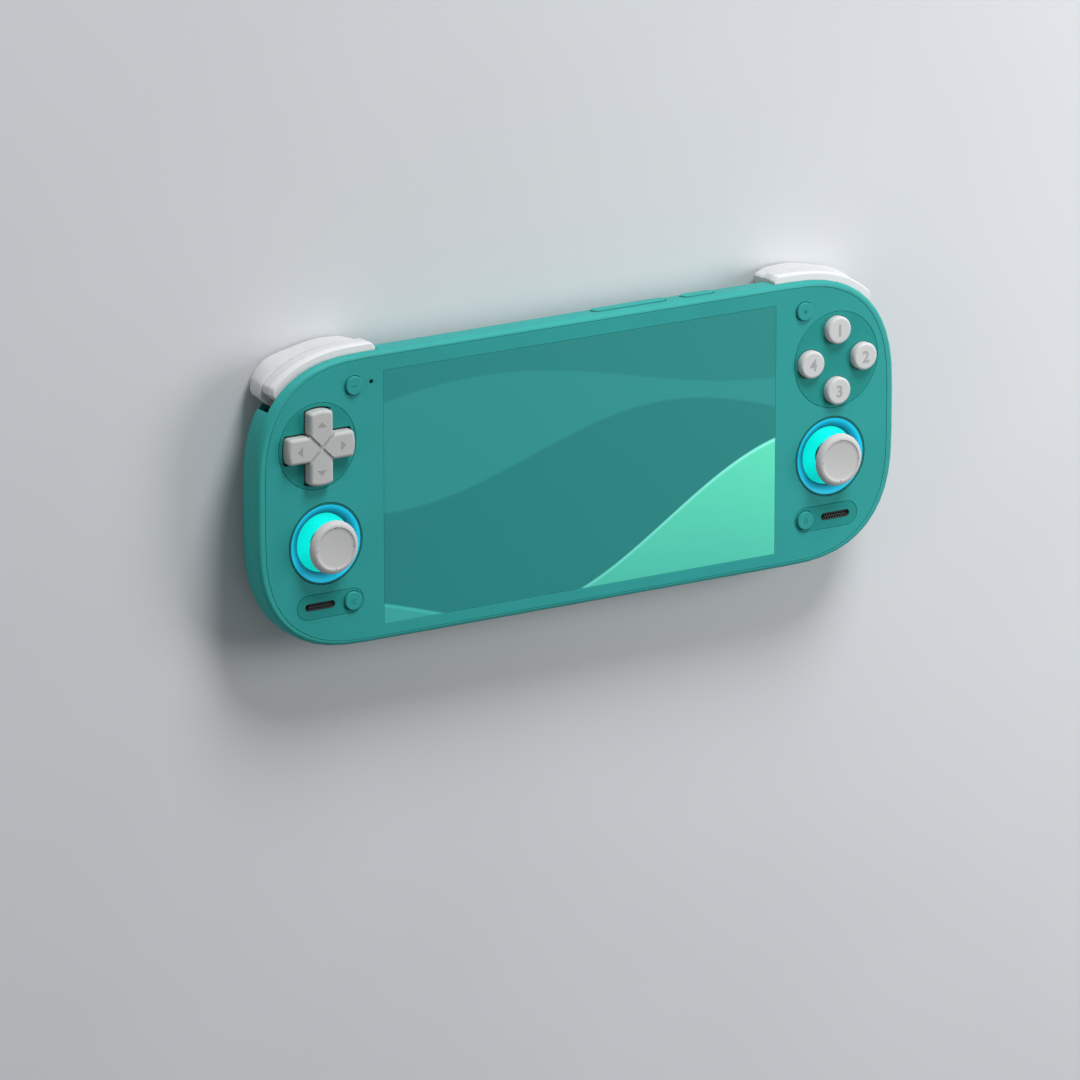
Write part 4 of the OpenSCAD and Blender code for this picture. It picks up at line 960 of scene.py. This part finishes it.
def speaker_mesh():
    """Bordered mesh in the slot of each speaker."""
    low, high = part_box("speaker_meshes")
    low_z, high_z = low.z / MM, top("left_speaker_inlay") - MESH_RECESS
    slot_h = (high.y - low.y) / MM
    slot_y = place("speaker_meshes").y
    end_r = slot_h / 2
    bm = bmesh.new()
    for side in SIDES.values():
        slot_x = side * (high.x / MM - SLOT_W / 2)
        border = pill(slot_x, slot_y, SLOT_W - 2 * MESH_BORDER, slot_h - 2 * MESH_BORDER)
        ring_wall(bm, pill(slot_x, slot_y, SLOT_W, slot_h), border, low_z, high_z)
        for row in range(MESH_ROWS):
            y = slot_y + (row - (MESH_ROWS - 1) / 2) * CELL * math.sqrt(3) / 2
            row_reach = abs(y - slot_y) + CELL / 2
            room = SLOT_W / 2 - end_r + math.sqrt(max(0, end_r ** 2 - row_reach ** 2))
            columns = int((room - CELL / 2) / CELL)
            for column in range(-columns, columns + 1 - row % 2):
                x = slot_x + (column + 0.5 * (row % 2)) * CELL
                outer, inner = (hexagon(x, y, w / math.sqrt(3)) for w in (CELL, CELL - CELL_WEB))
                ring_wall(bm, outer, inner, high_z - MESH_T, high_z)
    piece("speaker_mesh_plates", bm, FINISH["mesh_steel"], "console", ["speaker_meshes"])


speaker_mesh()

# The microphone shows as a dark hole: its part is coloured black as painted shade
frame["nodes"]["microphone"].material_slots[0].material = FINISH["black_plastic"]


# Pale floor, a hair below the object, with a faint cloudy tone
FLOOR_HALF = 6.0
FLOOR_DROP = 0.05
FLOOR_CLOUD = 90
FLOOR_VARY = 0.015
FLOOR_ROUGH = 0.85
FLOOR_SPECULAR = 0.1


def floor_finish():
    """Matt pale grey with a faint cloudy tone."""
    material, tree, shader, spot = start("floor", FLOOR_ROUGH, FLOOR_SPECULAR)
    clouds = remap(tree, noise(tree, spot, FLOOR_CLOUD, detail=2.0), 0, 1)
    tone = mix(tree, clouds, linear(FLOOR, 1 - FLOOR_VARY), linear(FLOOR, 1 + FLOOR_VARY))
    tree.links.new(tone, shader.inputs["Base Color"])
    return material


floor_mesh = bpy.data.meshes.new("floor")
floor_corners = [(sx * FLOOR_HALF, sy * FLOOR_HALF, -FLOOR_DROP * MM) for sx, sy in SQUARE]
floor_mesh.from_pydata(floor_corners, [], [(0, 1, 2, 3)])
floor_mesh.materials.append(floor_finish())
floor = bpy.data.objects.new("floor", floor_mesh)
bpy.context.scene.collection.objects.link(floor)


# Soft studio light: round lamps in metres and watts, and an even sky
LAMPS = {
    "key": {"where": (0.28, 1.55, 0.72), "aim": (0, 0, 0), "size": 0.70, "power": 28.0},
    "fill": {"where": (0.50, 0.08, 0.42), "aim": (0.06, 0, 0), "size": 0.36, "power": 2.1},
    "side": {"where": (-2.2, 0.3, 0.75), "aim": (0, 0, 0), "size": 0.90, "power": 5.5},
}
SKY = (0.94, 0.97, 1.0, 1)
SKY_STRENGTH = 0.2


def soft_lamp(name, where, aim, size, power):
    """Round lamp that points at a place."""
    lamp = bpy.data.lights.new(name, "AREA")
    lamp.shape = "DISK"
    lamp.size = size
    lamp.energy = power
    holder = bpy.data.objects.new(name, lamp)
    holder.location = where
    holder.rotation_mode = "QUATERNION"
    holder.rotation_quaternion = (Vector(aim) - Vector(where)).to_track_quat("-Z", "Y")
    bpy.context.scene.collection.objects.link(holder)


for lamp_name, lamp_values in LAMPS.items():
    soft_lamp(lamp_name, **lamp_values)
world = bpy.data.worlds.new("studio")
world.use_nodes = True
sky = world.node_tree.nodes["Background"]
sky.inputs["Color"].default_value = SKY
sky.inputs["Strength"].default_value = SKY_STRENGTH
bpy.context.scene.world = world
bpy.context.scene.view_settings.view_transform = "Standard"


# Camera at the photograph's angle, set from the middle of the screen, with its turn in radians
YAW = 0.5590
PITCH = 0.2846
DISTANCE = 2562.2
FOCUS_PX = 9721.3
OFFSET_PX = (41.987, 76.288)
IMAGE_PX = 1080
SENSOR = 36.0
CLIP_NEAR = 0.1
CLIP_FAR = 50


def photo_camera():
    """Camera on its distant place, moved sideways for the object's place in the picture."""
    back = Vector((-math.sin(YAW) * math.cos(PITCH), math.sin(PITCH), math.cos(YAW) * math.cos(PITCH)))
    right = Vector((0, 1, 0)).cross(back).normalized()
    up = back.cross(right)
    target = Vector((place("screen_lens").x, place("screen_lens").y, FRONT_Z))
    shift = (right * OFFSET_PX[0] + up * OFFSET_PX[1]) * DISTANCE / FOCUS_PX
    data = bpy.data.cameras.new("photo_camera")
    data.sensor_width = SENSOR
    data.lens = FOCUS_PX / IMAGE_PX * SENSOR
    data.clip_start = CLIP_NEAR
    data.clip_end = CLIP_FAR
    holder = bpy.data.objects.new("photo_camera", data)
    turn = Matrix((right, up, back)).transposed()
    holder.matrix_world = Matrix.Translation((target + back * DISTANCE - shift) * MM) @ turn.to_4x4()
    bpy.context.scene.collection.objects.link(holder)
    bpy.context.scene.camera = holder


photo_camera()
